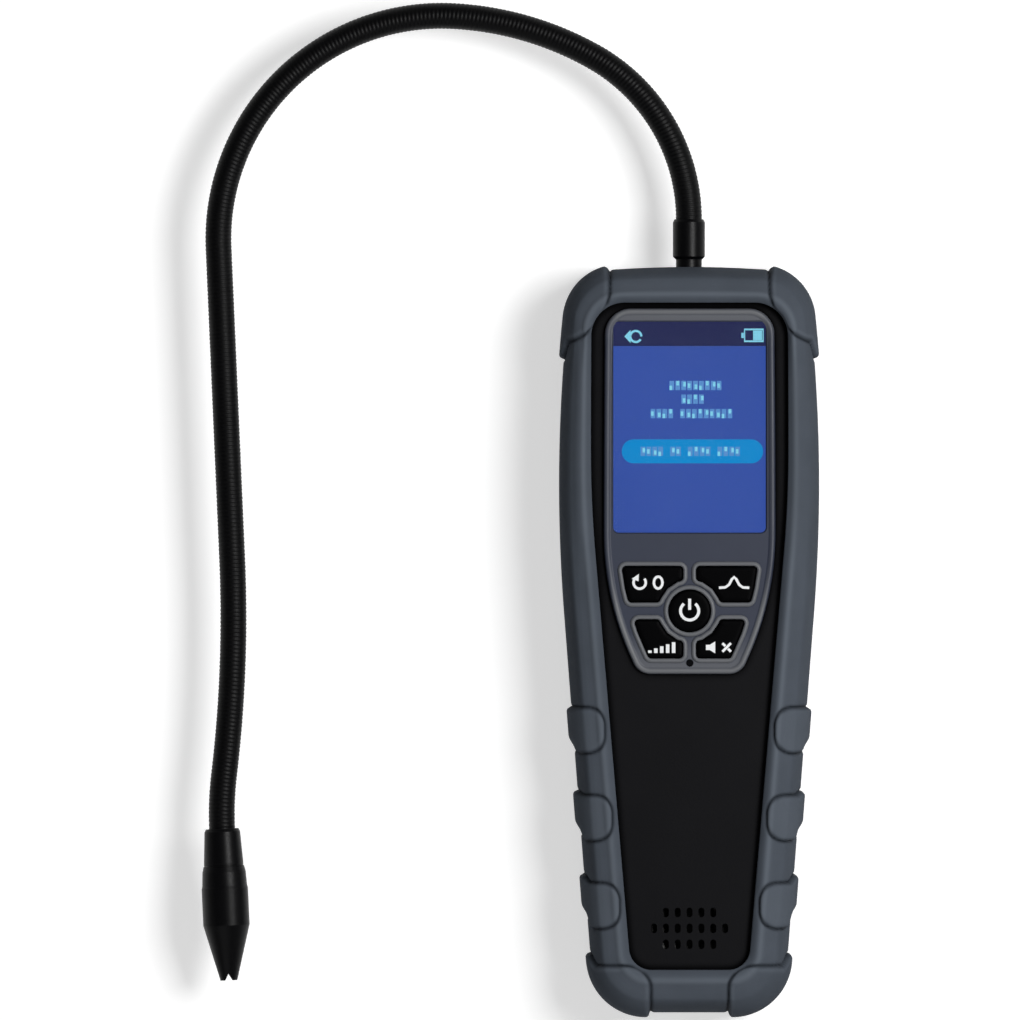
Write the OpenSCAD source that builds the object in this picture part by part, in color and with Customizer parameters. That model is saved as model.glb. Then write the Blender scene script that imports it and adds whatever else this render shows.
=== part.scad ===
// Handheld refrigerant leak detector, lying on its back.
// +X is to the right of the display, +Y points to the neck, +Z comes out of the front.
// The origin is the middle of the boot's flat back. Lengths are millimetres.

/* [Display] */
// Width of the lit picture
screen_w = 41.2; // [38:0.2:44]
// Height of the lit picture
screen_h = 57; // [52:0.5:60]
// Thickness of the clear window
window_t = 1.2; // [0.8:0.1:1.5]
// Border of the window that is held behind the faceplate
window_border = 1; // [0.6:0.1:1.2]
// Thickness of the display glass
lcd_t = 1.8; // [1.4:0.1:2.2]
// Thickness of the backlight frame
backlight_t = 2.7; // [2.2:0.1:3]
// Margin of the display beside and above the picture
lcd_margin = 1.4; // [1.2:0.1:1.8]
// Margin of the display under the picture
lcd_foot = 5; // [3:0.5:6]

/* [Faceplate] */
// Width of the faceplate beside the picture
bezel_side = 2.6; // [2.3:0.1:3.2]
// Height of the faceplate above the picture
bezel_head = 3.5; // [3:0.1:4.5]
// Thickness of the plate
bezel_t = 2.2; // [1.9:0.1:2.6]
// Depth of its seat in the case
bezel_sink = 1; // [0.6:0.1:1.3]
// Width of the raised outer rim
rim_w = 1.7; // [1.2:0.1:2]
// Height of the raised rims
rim_rise = 0.7; // [0.4:0.1:0.9]
// Corner radius at the top of the faceplate
bezel_top_r = 7; // [5:0.5:8]
// Corner radius at the bottom of the faceplate
bezel_bottom_r = 5; // [4:0.5:6]
// Radius of the sides where they draw in below the picture
bezel_waist_r = 81; // [76:1:100]
// Plain strip between the picture and the keys
key_drop = 9.2; // [8:0.2:11]
// Border between the keys and the edge of the faceplate
key_border = 4.4; // [4:0.1:5]

/* [Keys] */
// Height of the two upper keys
upper_key_h = 9.5; // [8.5:0.1:10.5]
// Height of the two lower keys
lower_key_h = 10.2; // [9:0.1:11]
// Gap between the upper and the lower keys
key_row_gap = 4.9; // [4.5:0.1:5.5]
// Gap between the left and the right keys
key_split = 3.8; // [3.4:0.1:4.6]
// Diameter of the round key
power_d = 11.2; // [10:0.1:12]
// Space between the round key and the shaped keys
power_gap = 3.1; // [2.9:0.1:3.6]
// Corner radius of the shaped keys
key_r = 0.9; // [0.6:0.1:1.2]
// Width of the ridge round each key
ridge_w = 1.2; // [0.9:0.1:1.3]
// Travel of a key
key_travel = 0.6; // [0.4:0.05:0.8]
// Width of the flange that holds a key behind the faceplate
flange_w = 0.8; // [0.6:0.05:0.95]
// Thickness of that flange
flange_t = 1; // [0.8:0.1:1.2]
// Diameter of the stem under a key
stem_d = 3.6; // [3:0.1:4.2]
// Diameter of the status light
led_d = 1.7; // [1.4:0.1:2]
// Height of the status light above the lower edge of the faceplate
led_rise = 3; // [2.6:0.1:3.4]

/* [Boot] */
// Length of the boot between its bumpers
boot_l = 201.2; // [196:0.2:210]
// Thickness of the boot at the crest of its front band
boot_t = 37; // [36:0.1:39]
// Width of the front band at the widest place
band_w = 8.55; // [8:0.05:10]
// Width of the front band at the top end
band_top = 9.2; // [8.5:0.1:10.5]
// Width of the front band at the bottom end
band_bottom = 11.8; // [10.5:0.1:13]
// Dark gap between the band and the side of the faceplate
opening_gap = 3.45; // [3:0.05:4]
// Dark gap between the band and the top of the faceplate
opening_head = 1.6; // [1.2:0.1:2.4]
// Corner radius at the top of the front opening
opening_top_r = 9; // [8:0.5:10]
// Corner radius at the bottom of the front opening
opening_bottom_r = 6; // [5:0.5:7]
// Thickness of the boot's side wall
boot_wall = 2.6; // [2.2:0.1:2.9]
// Thickness of the boot's back
boot_back_t = 3; // [2.8:0.1:3.4]
// Thickness of the lip round the front opening
lip_t = 2; // [1.6:0.1:2.6]
// Drop of that lip below the crest of the band
lip_drop = 1.4; // [1:0.1:2]
// Height over which the band slopes down to the side
roll_h = 12.5; // [11:0.5:14]
// Radius of the long curve of the sides
boot_side_r = 454; // [400:1:600]
// Taper of the handle's sides in degrees
boot_taper = 4.4; // [4:0.05:5]
// Distance from the top end to the widest place
boot_widest = 58.2; // [52:0.2:64]
// Corner radius at the top of the boot
boot_top_r = 14; // [13:0.5:16]
// Corner radius at the bottom of the boot
boot_bottom_r = 15; // [14:0.5:17]
// Rounding of the back edge
boot_back_r = 5; // [4:0.5:6]
// Rise of the boot's top end towards the neck
top_crown = 0.6; // [0.2:0.1:1.2]

/* [Bumpers and grips] */
// Height of the bumpers and grips over the boot's side
pad_rise = 1.4; // [1:0.1:1.8]
// Height of the bumpers and grips over the boot's front
pad_front = 0.8; // [0.5:0.1:1.2]
// Number of grips on each side
grip_n = 3; // [2:1:3]
// Length of one grip along the side
grip_h = 11.6; // [10:0.2:13]
// Spacing of the grips
grip_pitch = 23.7; // [20:0.1:24.5]
// Distance from the bottom end to the middle of the lowest grip
grip_foot = 29.1; // [28:0.1:32]
// Distance of the grips from the front opening
grip_margin = 1.8; // [1.2:0.1:3]
// Corner radius at the inner end of a grip
grip_r = 4.6; // [3.5:0.1:5]
// Reach of the top bumpers along the top end
bumper_top_in = 9.4; // [8:0.1:10.4]
// Reach of the top bumpers down the side
bumper_top_down = 20; // [16:0.5:21]
// Rounding of the top bumpers' inner corner
bumper_top_r = 15; // [14:0.5:17]
// Reach of the bottom bumpers along the bottom end
bumper_bottom_in = 14.6; // [12:0.1:17]
// Reach of the bottom bumpers up the side
bumper_bottom_up = 12.5; // [10:0.5:13]
// Rounding of the bottom bumpers' inner corner
bumper_bottom_r = 6; // [5:0.5:9]

/* [Case] */
// Side wall of the case
case_wall = 2.2; // [1.9:0.1:2.4]
// Front and back wall of the case
case_face_t = 2.4; // [2.2:0.1:2.8]
// Width of the step round the front of the case, under the band of the boot
step_w = 3.4; // [3:0.1:3.8]
// Height of that step
step_h = 3.5; // [3:0.1:4]
// Height of the tongue that lines up the two halves
tongue_h = 1.2; // [0.8:0.1:1.6]
// Thickness of that tongue
tongue_t = 0.9; // [0.7:0.05:1]
// Diameter of the screw bosses
boss_d = 6; // [5.5:0.1:6.4]
// Diameter of the case screws
screw_d = 2.6; // [2.2:0.1:3]
// Diameter of the heads of the case screws
screw_head_d = 4.4; // [4:0.1:4.8]
// Height of the heads of the case screws
screw_head_t = 1.6; // [1.2:0.1:2]
// Distance from the top end to the upper screws
screw_head_y = 34; // [30:1:40]
// Distance from the bottom end to the lower screws
screw_foot_y = 15; // [14.5:0.25:15.5]

/* [Speaker] */
// Width of a slot of the grille
slot_w = 1.6; // [1.2:0.1:1.8]
// Length of a slot of the grille
slot_l = 2.6; // [2.2:0.1:3]
// Spacing of the slots in a row
slot_pitch = 3.2; // [2.8:0.1:3.3]
// Spacing of the rows
row_pitch = 4.3; // [3.8:0.1:4.4]
// Slots in the longest row
slot_n = 7; // [5:2:7]
// Distance from the bottom end to the middle of the grille
grille_foot = 23; // [22:0.5:25]
// Diameter of the speaker
speaker_d = 27; // [25:0.5:28]
// Height of the speaker
speaker_h = 5; // [4:0.2:5.2]
// Thickness of the foam ring
foam_t = 0.6; // [0.4:0.1:1]

/* [Battery] */
// Diameter of a cell
cell_d = 18.4; // [17.6:0.1:18.6]
// Length of a cell
cell_l = 65; // [60:0.5:66]
// Length of a fitted spring
spring_l = 4; // [3:0.1:5]
// Thickness of a contact plate
plate_t = 0.5; // [0.3:0.05:0.8]
// Wall of the battery bay
bay_wall = 1.4; // [1:0.1:1.6]
// Distance from the bottom end to the bay
bay_foot = 22; // [21:0.5:24]
// Lap of the door over the edge of the bay
door_lap = 1.8; // [1.4:0.1:2]
// Sink of the door below the boot's back
door_sink = 0.5; // [0.3:0.1:0.8]
// Diameter of the door's hinge pins
hinge_pin_d = 1.4; // [1:0.1:1.5]
// Width of the hinge ears on the case
hinge_ear_w = 2.6; // [2:0.1:3]

/* [Board] */
// Thickness of the circuit board
board_t = 1.6; // [1:0.1:1.8]
// Length of the board below the faceplate
board_tail = 13; // [11:0.5:15]
// Height of a key switch
switch_h = 3.2; // [2.8:0.1:3.4]
// Width of a key switch
switch_w = 5; // [4.5:0.1:6]

/* [Neck] */
// Diameter of the gooseneck
neck_d = 7.2; // [6.8:0.1:7.4]
// Diameter of the bushing
bushing_d = 7; // [6.4:0.1:7.2]
// Diameter of the ferrule
ferrule_d = 8.7; // [8.5:0.1:9.4]
// Length of the ferrule
ferrule_l = 10.9; // [9:0.1:12]
// Length of bushing that shows between the boot and the ferrule
bushing_show = 2.7; // [2:0.1:4]
// Length of neck held in the ferrule and in the tip
neck_grip = 4; // [3:0.1:5]
// Radius of the first bend out of the ferrule
rise_r = 50.6; // [44:0.2:58]
// Turn of that bend in degrees
rise_turn = 60.8; // [56:0.2:64]
// Radius of the flat bend over the top
crown_r = 87; // [70:0.5:100]
// Turn of that bend in degrees
crown_turn = 26.4; // [22:0.2:30]
// Radius of the bend that turns down to the tip
fall_r = 60.5; // [54:0.5:70]
// Turn of that bend in degrees
fall_turn = 95.3; // [90:0.1:98]
// Straight length below it
drop_l = 84.3; // [70:0.1:90]
// Radius of the slight bend away from the body
sway_r = 360; // [300:5:420]
// Turn of that bend in degrees
sway_turn = 9.3; // [7:0.1:11]
// Radius of the bend back above the tip
return_r = 90; // [70:1:120]
// Turn of that bend in degrees
return_turn = 9.4; // [7:0.1:11]

/* [Sensor tip] */
// Diameter of the collar at its upper end
collar_d = 9.7; // [9.2:0.1:10]
// Length of the collar that shows
collar_l = 10; // [8:0.1:12]
// Diameter of the cover's barrel
tip_d = 12.6; // [12.2:0.1:13.2]
// Length of the cover's barrel
barrel_l = 16; // [14.5:0.5:19]
// Length of the cover's nose
nose_l = 15; // [13:0.5:18]
// Diameter of the nose at its end
nose_d = 4.6; // [4:0.1:5.2]
// Bore of the nose
nose_bore = 2; // [1.6:0.1:2.4]
// Depth of the V notch in the end of the nose
notch_l = 1.8; // [1.2:0.1:2.4]
// Width of that notch at the end
notch_w = 2; // [1.2:0.1:2.4]
// Diameter of the sensor
sensor_d = 7; // [6.4:0.1:7.4]
// Thickness of the felt filter
filter_t = 1.6; // [1:0.1:2]

/* [Fits] */
// Clearance of pieces that seat in each other
fit = 0.1; // [0.08:0.01:0.15]
// Clearance of pieces that move past each other
slide_fit = 0.2; // [0.15:0.01:0.25]

/* [Hidden] */
$fn = 48;

rubber = "#464c54";
black_abs = "#1a1b1d";
faceplate_grey = "#4a4e5a";
key_black = "#0c0c0d";
steel = "#b8bcc0";
brass = "#c2a25a";
board_green = "#2c5a3c";

// Clearance of a screw in its hole, on the diameter
screw_play = 0.4;
// Room for cuts that pass right through
over = 1;
// Longest reach used for open-ended cuts
far = 400;
corner_n = 9;
side_n = 14;
end_n = 6;
// Values that describe a plain outline
plain_n = 9;
min_r = 0.5;

// Heights from the boot's back
case_back_z = boot_back_t + fit;
case_front_z = boot_t - lip_drop - lip_t - fit;
case_inner_z = case_front_z - case_face_t;
step_z = case_front_z - step_h;
split_z = (case_back_z + case_front_z) / 2;
bezel_back_z = case_front_z - bezel_sink;
bezel_face_z = bezel_back_z + bezel_t;
rim_z = bezel_face_z + rim_rise;
lcd_front_z = case_inner_z - fit;
board_z = lcd_front_z - lcd_t - backlight_t;

// Heights along the body
end_y = boot_l / 2;
opening_top_y = end_y - band_top;
bezel_top_y = opening_top_y - opening_head;
screen_top_y = bezel_top_y - bezel_head;
screen_low_y = screen_top_y - screen_h;
upper_top_y = screen_low_y - key_drop;
upper_low_y = upper_top_y - upper_key_h;
lower_top_y = upper_low_y - key_row_gap;
lower_low_y = lower_top_y - lower_key_h;
power_y = (upper_low_y + lower_top_y) / 2;
bezel_low_y = lower_low_y - key_border;
led_y = bezel_low_y + led_rise;
grille_y = grille_foot - end_y;
lcd_top_y = screen_top_y + lcd_margin;
lcd_low_y = screen_low_y - lcd_foot;
board_low_y = bezel_low_y - board_tail;
case_top_y = end_y - boot_wall - fit;
case_inner_top_y = case_top_y - case_wall;

// Half widths
bezel_hw = screen_w / 2 + bezel_side;
opening_hw = bezel_hw + opening_gap;
boot_hw = opening_hw + band_w;
lcd_hw = screen_w / 2 + lcd_margin;

// An outline is [half width, height of the widest place, side radius above it, side radius below it,
// taper, top, bottom, top corner radius, bottom corner radius], and the rise of a crowned top end
straight_r = 5000;
no_taper_end = 80;
opening_side_r = 324;
opening_taper = 4.86;
opening_widest = 39.8;
opening_widest_y = opening_top_y - opening_widest;
body_plan = [boot_hw, end_y - boot_widest, boot_side_r, boot_side_r, boot_taper,
  end_y, -end_y, boot_top_r, boot_bottom_r];
boot_plan = concat(body_plan, [top_crown]);
opening_plan = [opening_hw, opening_widest_y, straight_r, opening_side_r, opening_taper,
  opening_top_y, band_bottom - end_y, opening_top_r, opening_bottom_r];
bezel_plan = [bezel_hw, screen_low_y, straight_r, bezel_waist_r, no_taper_end,
  bezel_top_y, bezel_low_y, bezel_top_r, bezel_bottom_r];
cavity_plan = inset(body_plan, boot_wall);
case_plan = inset(body_plan, boot_wall + fit);
case_inner_plan = inset(case_plan, case_wall);

function inset(p, d) = concat([p[0] - d, p[1], p[2] - d, p[3] - d, p[4], p[5] - d, p[6] + d,
  max(p[7] - d, min_r), max(p[8] - d, min_r)], crown_of(p));

// The rise of a crowned top end, in a list that is empty for a straight one
function crown_of(p) = [for (i = [plain_n : 1 : len(p) - 1]) p[i]];

// Half width of an outline at height y
function side_x(p, y) =
  y >= p[1] ? p[0] - p[2] + sqrt(p[2] * p[2] - pow(y - p[1], 2)) :
  let (down = p[1] - y, curve = p[3] * sin(p[4]))
  down <= curve ? p[0] - p[3] + sqrt(p[3] * p[3] - down * down) :
  p[0] - p[3] * (1 - cos(p[4])) - (down - curve) * tan(p[4]);

// Direction that the side of an outline faces at height y, in degrees from +X
function side_turn(p, y) =
  y >= p[1] ? asin((y - p[1]) / p[2]) : -min(p[4], asin(min(1, (p[1] - y) / p[3])));

function corner_arc(p, yc, r, from, to) =
  let (xc = side_x(p, yc) - r / cos(side_turn(p, yc)))
  [for (i = [0 : corner_n]) let (a = from + (to - from) * i / corner_n) [xc + r * cos(a), yc + r * sin(a)]];

// Points of an outline, counterclockwise from the bottom
function plan(p) =
  let (low_yc = p[6] + p[8], top_yc = p[5] - p[7],
    low = corner_arc(p, low_yc, p[8], -90, side_turn(p, low_yc)),
    top = corner_arc(p, top_yc, p[7], side_turn(p, top_yc), 90),
    y0 = low[corner_n][1], y1 = top[0][1],
    side = [for (i = [1 : side_n - 1]) let (y = y0 + (y1 - y0) * i / side_n) [side_x(p, y), y]],
    right = concat(low, side, top), end_x = top[corner_n][0],
    crown = [for (rise = crown_of(p), i = [1 : end_n - 1]) let (t = 1 - 2 * i / end_n)
      [end_x * t, p[5] + rise * (1 - t * t)]])
  concat(right, crown, [for (i = [len(right) - 1 : -1 : 0]) [-right[i][0], right[i][1]]]);

// Rings of points, each counterclockwise seen from the last ring, closed to one solid
module loft(rings) {
  n = len(rings[0]);
  m = len(rings);
  walls = [for (i = [0 : m - 2], j = [0 : n - 1]) let (k = (j + 1) % n)
    each [[i * n + j, (i + 1) * n + j, (i + 1) * n + k], [i * n + j, (i + 1) * n + k, i * n + k]]];
  first_cap = [for (j = [0 : n - 1]) j];
  last_cap = [for (j = [n - 1 : -1 : 0]) (m - 1) * n + j];
  polyhedron(points = [for (r = rings) each r], faces = concat([first_cap], walls, [last_cap]));
}

module slab(p, z0, z1) {
  translate([0, 0, z0])
    linear_extrude(height = z1 - z0)
      polygon(plan(p));
}

// A slab that narrows by the step of the case
module stepped(p, z0, z_step, z1) {
  slab(p, z0, z_step);
  slab(inset(p, step_w), z0, z1);
}

module both_sides() {
  for (s = [0, 1])
    mirror([s, 0, 0])
      children();
}

module along_y(x, y, z) {
  translate([x, y, z])
    rotate([-90, 0, 0])
      children();
}

module tube(d, bore, z0, z1) {
  translate([0, 0, z0])
    difference() {
      cylinder(d = d, h = z1 - z0);
      translate([0, 0, -over])
        cylinder(d = bore, h = z1 - z0 + 2 * over);
    }
}

module rounded_box(x, y0, y1, z0, z1, r) {
  translate([0, 0, z0])
    linear_extrude(height = z1 - z0)
      offset(r = r)
        translate([-x + r, y0 + r])
          square([2 * (x - r), y1 - y0 - 2 * r]);
}

// Boot

back_steps = 5;

// Profile of the front band from its outer edge to its ridge: share of the width, and share of the
// slope's height still to climb along the handle and beside the display, where the band is fuller
band_slope = [[0, 1, 0.92], [0.04, 0.68, 0.59], [0.12, 0.51, 0.38], [0.3, 0.31, 0.18],
  [0.54, 0.13, 0.06], [0.72, 0.01, 0.01], [0.79, 0, 0]];
// The same from the ridge into the opening, as shares of the lip's drop
band_lip = [[0.86, 0.14], [0.93, 0.5], [1, 1]];

function ease(t) = let (c = min(1, max(0, t))) c * c * (3 - 2 * c);

// Lengths over which the band turns fuller beside the display and turns to a slope again above it
full_rise = 28;
full_fall = 19;

// How full the band is at height y
function fullness(y) =
  ease((y - upper_low_y) / full_rise) * (1 - ease((y - opening_top_y + full_fall) / full_fall));

function level(points, z) = [for (p = points) [p[0], p[1], z]];

function between(a, b, u) =
  [for (j = [0 : len(a) - 1]) [a[j][0] + (b[j][0] - a[j][0]) * u, a[j][1] + (b[j][1] - a[j][1]) * u]];

module boot_form(grow, rise) {
  outer = plan(inset(boot_plan, -grow));
  inner = plan(concat(opening_plan, [0]));
  crest_z = boot_t + rise;
  back = [for (i = [0 : back_steps]) let (a = 90 * i / back_steps)
    level(plan(inset(boot_plan, boot_back_r * (1 - sin(a)) - grow)), boot_back_r * (1 - cos(a)))];
  slope = [for (b = band_slope) [for (q = between(outer, inner, b[0]))
    [q[0], q[1], crest_z - (roll_h + rise) * (b[1] + (b[2] - b[1]) * fullness(q[1]))]]];
  lip = [for (b = band_lip) level(between(outer, inner, b[0]), crest_z - lip_drop * b[1])];
  loft(concat(back, slope, lip, [level(inner, split_z)]));
}

module grip_outline(y) {
  x = side_x(opening_plan, y) + grip_margin;
  hull() {
    for (s = [-1, 1])
      translate([x + grip_r, y + s * (grip_h / 2 - grip_r)])
        circle(r = grip_r, $fn = 32);
    translate([x + grip_r, y - grip_h / 2])
      square([far, grip_h]);
  }
}

// Outside corner of the plane with its inner corner at x, y, rounded by r
module corner_outline(x, y, r) {
  hull() {
    translate([x + r, y + r])
      circle(r = r, $fn = 32);
    translate([x + r, y])
      square(far);
    translate([x, y + r])
      square(far);
  }
}

module pad_outlines() {
  top_x = side_x(boot_plan, end_y) - bumper_top_in;
  low_x = side_x(boot_plan, -end_y) - bumper_bottom_in;
  both_sides() {
    for (i = [0 : grip_n - 1])
      grip_outline(grip_foot - end_y + i * grip_pitch);
    corner_outline(top_x, end_y - bumper_top_down, bumper_top_r);
    mirror([0, 1, 0])
      corner_outline(low_x, end_y - bumper_bottom_up, bumper_bottom_r);
  }
}

module boot() {
  color(rubber)
    difference() {
      union() {
        boot_form(0, 0);
        intersection() {
          boot_form(pad_rise, pad_front);
          linear_extrude(height = far)
            pad_outlines();
        }
      }
      stepped(cavity_plan, boot_back_t, step_z + fit, case_front_z + fit);
      rounded_box(door_hw + door_gap, door_low_y - door_gap, hinge_y + ear_r + door_gap,
        -over, split_z, door_r);
      along_y(0, split_z, split_z)
        cylinder(d = bushing_d + 2 * fit, h = far);
      along_y(0, split_z, split_z)
        cylinder(d = shoulder_d + 2 * fit, h = case_top_y + shoulder_t + 2 * fit - split_z);
    }
}

// Case

screw_length = 18;
function boss_x(y) = side_x(case_inner_plan, y) - boss_d / 2 + wall_merge;
wall_merge = 0.4;
boss_ys = [end_y - screw_head_y, screw_foot_y - end_y];

module at_bosses() {
  for (y = boss_ys)
    both_sides()
      translate([boss_x(y), y, 0])
        children();
}

module grille_slots() {
  for (row = [-1 : 1])
    let (n = row == 0 ? slot_n : slot_n - 2)
      for (i = [0 : n - 1])
        translate([(i - (n - 1) / 2) * slot_pitch, grille_y + row * row_pitch]) {
          square([slot_w, slot_l - slot_w], center = true);
          for (s = [-1, 1])
            translate([0, s * (slot_l - slot_w) / 2])
              circle(d = slot_w);
        }
}

// Opening behind the keys for their flanges
well_gap = 0.5;

module key_well() {
  intersection() {
    polygon(plan(inset(bezel_plan, key_border - flange_w - well_gap)));
    translate([-bezel_hw, bezel_low_y])
      square([2 * bezel_hw, upper_top_y + flange_w + well_gap - bezel_low_y]);
  }
}

speaker_wall = 1.2;
post_d = 5;
post_x = lcd_hw - post_d / 2;
post_y = board_low_y + post_d / 2;

module front_case() {
  color(black_abs)
    difference() {
      union() {
        difference() {
          stepped(case_plan, split_z, step_z, case_front_z);
          stepped(case_inner_plan, split_z - over, step_z - case_face_t, case_inner_z);
          slab(inset(case_plan, case_wall - tongue_t - fit), split_z - over, split_z + tongue_h + fit);
        }
        intersection() {
          stepped(inset(case_plan, case_wall / 2), split_z + tongue_h + fit, step_z - fit, case_front_z - fit);
          union() {
            at_bosses()
              cylinder(d = boss_d, h = far);
            both_sides()
              translate([post_x, post_y, board_z])
                cylinder(d = post_d, h = far);
            translate([0, grille_y, 0])
              tube(speaker_d + 2 * fit + 2 * speaker_wall, speaker_d + 2 * fit,
                case_inner_z - foam_t - speaker_h / 2, case_inner_z + fit);
          }
        }
      }
      slab(inset(bezel_plan, -fit), bezel_back_z, far);
      translate([-screen_w / 2, screen_low_y, split_z])
        cube([screen_w, screen_h, far]);
      translate([0, 0, split_z])
        linear_extrude(height = far) {
          key_well();
          translate([0, led_y])
            circle(d = led_d + screw_play);
          grille_slots();
        }
      at_bosses()
        translate([0, 0, split_z - over])
          cylinder(d = screw_d, h = screw_top_z + over - split_z + fit);
      both_sides()
        translate([post_x, post_y, board_z - over])
          cylinder(d = board_screw_d, h = board_screw_l - board_t + fit + over);
      along_y(0, case_inner_top_y - over, split_z)
        cylinder(d = bushing_d + 2 * fit, h = far);
    }
}

screw_seat_z = case_back_z + screw_head_t + fit;
screw_top_z = screw_seat_z + screw_length;

bay_low_y = bay_foot - end_y;
bay_top_y = bay_low_y + cell_l + spring_l + 2 * plate_t;
bay_hw = cell_d + 2 * fit + slide_fit;
cell_x = cell_d / 2 + fit;
cell_low_z = case_back_z + 2 * slide_fit;
bay_roof_z = cell_low_z + cell_d + slide_fit;

module rear_case() {
  color(black_abs)
    difference() {
      union() {
        difference() {
          union() {
            slab(case_plan, case_back_z, split_z);
            slab(inset(case_plan, case_wall - tongue_t), split_z - over, split_z + tongue_h);
          }
          slab(case_inner_plan, case_back_z + case_face_t, far);
        }
        intersection() {
          slab(inset(case_plan, case_wall / 2), case_back_z + fit, split_z);
          at_bosses()
            cylinder(d = boss_d, h = far);
        }
        translate([-bay_hw - bay_wall, bay_low_y - bay_wall, case_back_z])
          cube([2 * (bay_hw + bay_wall), bay_top_y - bay_low_y + 2 * bay_wall,
            bay_roof_z + bay_wall - case_back_z]);
        both_sides()
          hinge_ear();
      }
      translate([-bay_hw, bay_low_y, -over])
        cube([2 * bay_hw, bay_top_y - bay_low_y, bay_roof_z + over]);
      at_bosses() {
        translate([0, 0, -over])
          cylinder(d = screw_d + screw_play, h = far);
        translate([0, 0, -over])
          cylinder(d = screw_head_d + screw_play, h = screw_seat_z + over);
      }
      both_sides()
        translate([ear_x - over, hinge_y, hinge_z])
          rotate([0, 90, 0])
            cylinder(d = hinge_pin_d + fit, h = hinge_ear_w + 2 * over);
      along_y(0, case_inner_top_y - over, split_z)
        cylinder(d = bushing_d + 2 * fit, h = far);
    }
}

module case_screws() {
  color(steel)
    at_bosses() {
      translate([0, 0, screw_seat_z - screw_head_t])
        cylinder(d = screw_head_d, h = screw_head_t);
      translate([0, 0, screw_seat_z - fit])
        cylinder(d = screw_d - pilot_grip, h = screw_length + fit);
    }
}

pilot_grip = 0.1;

// Battery door

door_gap = 0.6;
door_r = 3;
door_hw = bay_hw + door_lap;
door_low_y = bay_low_y - door_lap;
door_face_z = case_back_z - slide_fit;
door_t = door_face_z - door_sink;
hinge_z = door_sink + door_t / 2;
hinge_room = 1.1;
ear_r = door_t / 2 + slide_fit;
hinge_y = bay_top_y + bay_wall / 2 + ear_r + hinge_room;
plate_top_y = hinge_y - ear_r - hinge_room;
hinge_tongue_hw = 12;
ear_x = hinge_tongue_hw + slide_fit;
rim_inset = 0.4;
rim_t = 1.2;
rim_h = 1.2;
rib_n = 4;
rib_pitch = 2.4;
rib_w = 1;
rib_l = 18;
rib_h = 0.3;

module hinge_ear() {
  translate([ear_x, hinge_y, hinge_z])
    rotate([0, 90, 0])
      cylinder(r = ear_r - slide_fit, h = hinge_ear_w);
  translate([ear_x, hinge_y - ear_r + slide_fit, hinge_z])
    cube([hinge_ear_w, 2 * (ear_r - slide_fit), case_back_z + case_face_t / 2 - hinge_z]);
}

module battery_door() {
  color(black_abs)
    union() {
      rounded_box(door_hw, door_low_y, plate_top_y, door_sink, door_face_z, door_r);
      difference() {
        rounded_box(bay_hw - rim_inset, bay_low_y + rim_inset, bay_top_y - rim_inset,
          door_face_z - fit, case_back_z + rim_h, min_r);
        rounded_box(bay_hw - rim_inset - rim_t, bay_low_y + rim_inset + rim_t,
          bay_top_y - rim_inset - rim_t, door_sink, far, min_r);
      }
      translate([-hinge_tongue_hw, plate_top_y - over, door_sink])
        cube([2 * hinge_tongue_hw, hinge_y - plate_top_y + over, door_t]);
      translate([-hinge_tongue_hw, hinge_y, hinge_z])
        rotate([0, 90, 0])
          cylinder(d = door_t, h = 2 * hinge_tongue_hw);
      translate([-ear_x - hinge_ear_w, hinge_y, hinge_z])
        rotate([0, 90, 0])
          cylinder(d = hinge_pin_d, h = 2 * (ear_x + hinge_ear_w));
      for (i = [0 : rib_n - 1])
        translate([-rib_l / 2, door_low_y + door_r + i * rib_pitch, door_sink - rib_h])
          cube([rib_l, rib_w, rib_h + fit]);
    }
}

// Cells and contacts

nub_d = 6;
nub_l = 1.2;
cell_z = cell_low_z + cell_d / 2;
cell_low_y = bay_top_y - plate_t - cell_l;

module at_cells() {
  both_sides()
    translate([cell_x, 0, cell_z])
      children();
}

module battery_cells() {
  color("#2f6f9f")
    at_cells() {
      along_y(0, cell_low_y, 0)
        cylinder(d = cell_d, h = cell_l - nub_l);
      along_y(0, cell_low_y, 0)
        cylinder(d = nub_d, h = cell_l);
    }
}

spring_wire = 0.8;
spring_d = 9;
spring_turns = 2.5;
spring_cone = 0.4;
spring_steps = 14;
spring_sides = 6;

// A conical coil, wide at its foot, whose wire stays within the spring's length
module coil(length, wide, turns, wire) {
  n = floor(turns * spring_steps);
  loft([for (i = [0 : n]) let (a = 360 * i / spring_steps, t = i / n,
      r = (wide - wire) / 2 * (1 - spring_cone * t), z = wire / 2 + (length - wire) * t)
    [for (k = [0 : spring_sides - 1]) let (b = -360 * k / spring_sides, q = r + wire / 2 * cos(b))
      [q * cos(a), q * sin(a), z + wire / 2 * sin(b)]]]);
}

module battery_springs() {
  color(steel)
    at_cells()
      along_y(0, bay_low_y + plate_t, 0)
        coil(spring_l, spring_d, spring_turns, spring_wire);
}

plate_w = 12;

module battery_plates() {
  color(steel)
    at_cells()
      for (y = [bay_low_y, bay_top_y - plate_t])
        translate([-plate_w / 2, y, -plate_w / 2])
          cube([plate_w, plate_t, plate_w]);
}

// Faceplate and display

soft_edge = 0.3;
soft_part = 0.4;

module raised_ring(h) {
  linear_extrude(height = h * (1 - soft_part))
    difference() {
      children(0);
      children(1);
    }
  linear_extrude(height = h)
    difference() {
      offset(delta = -soft_edge)
        children(0);
      offset(delta = soft_edge)
        children(1);
    }
}

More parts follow.
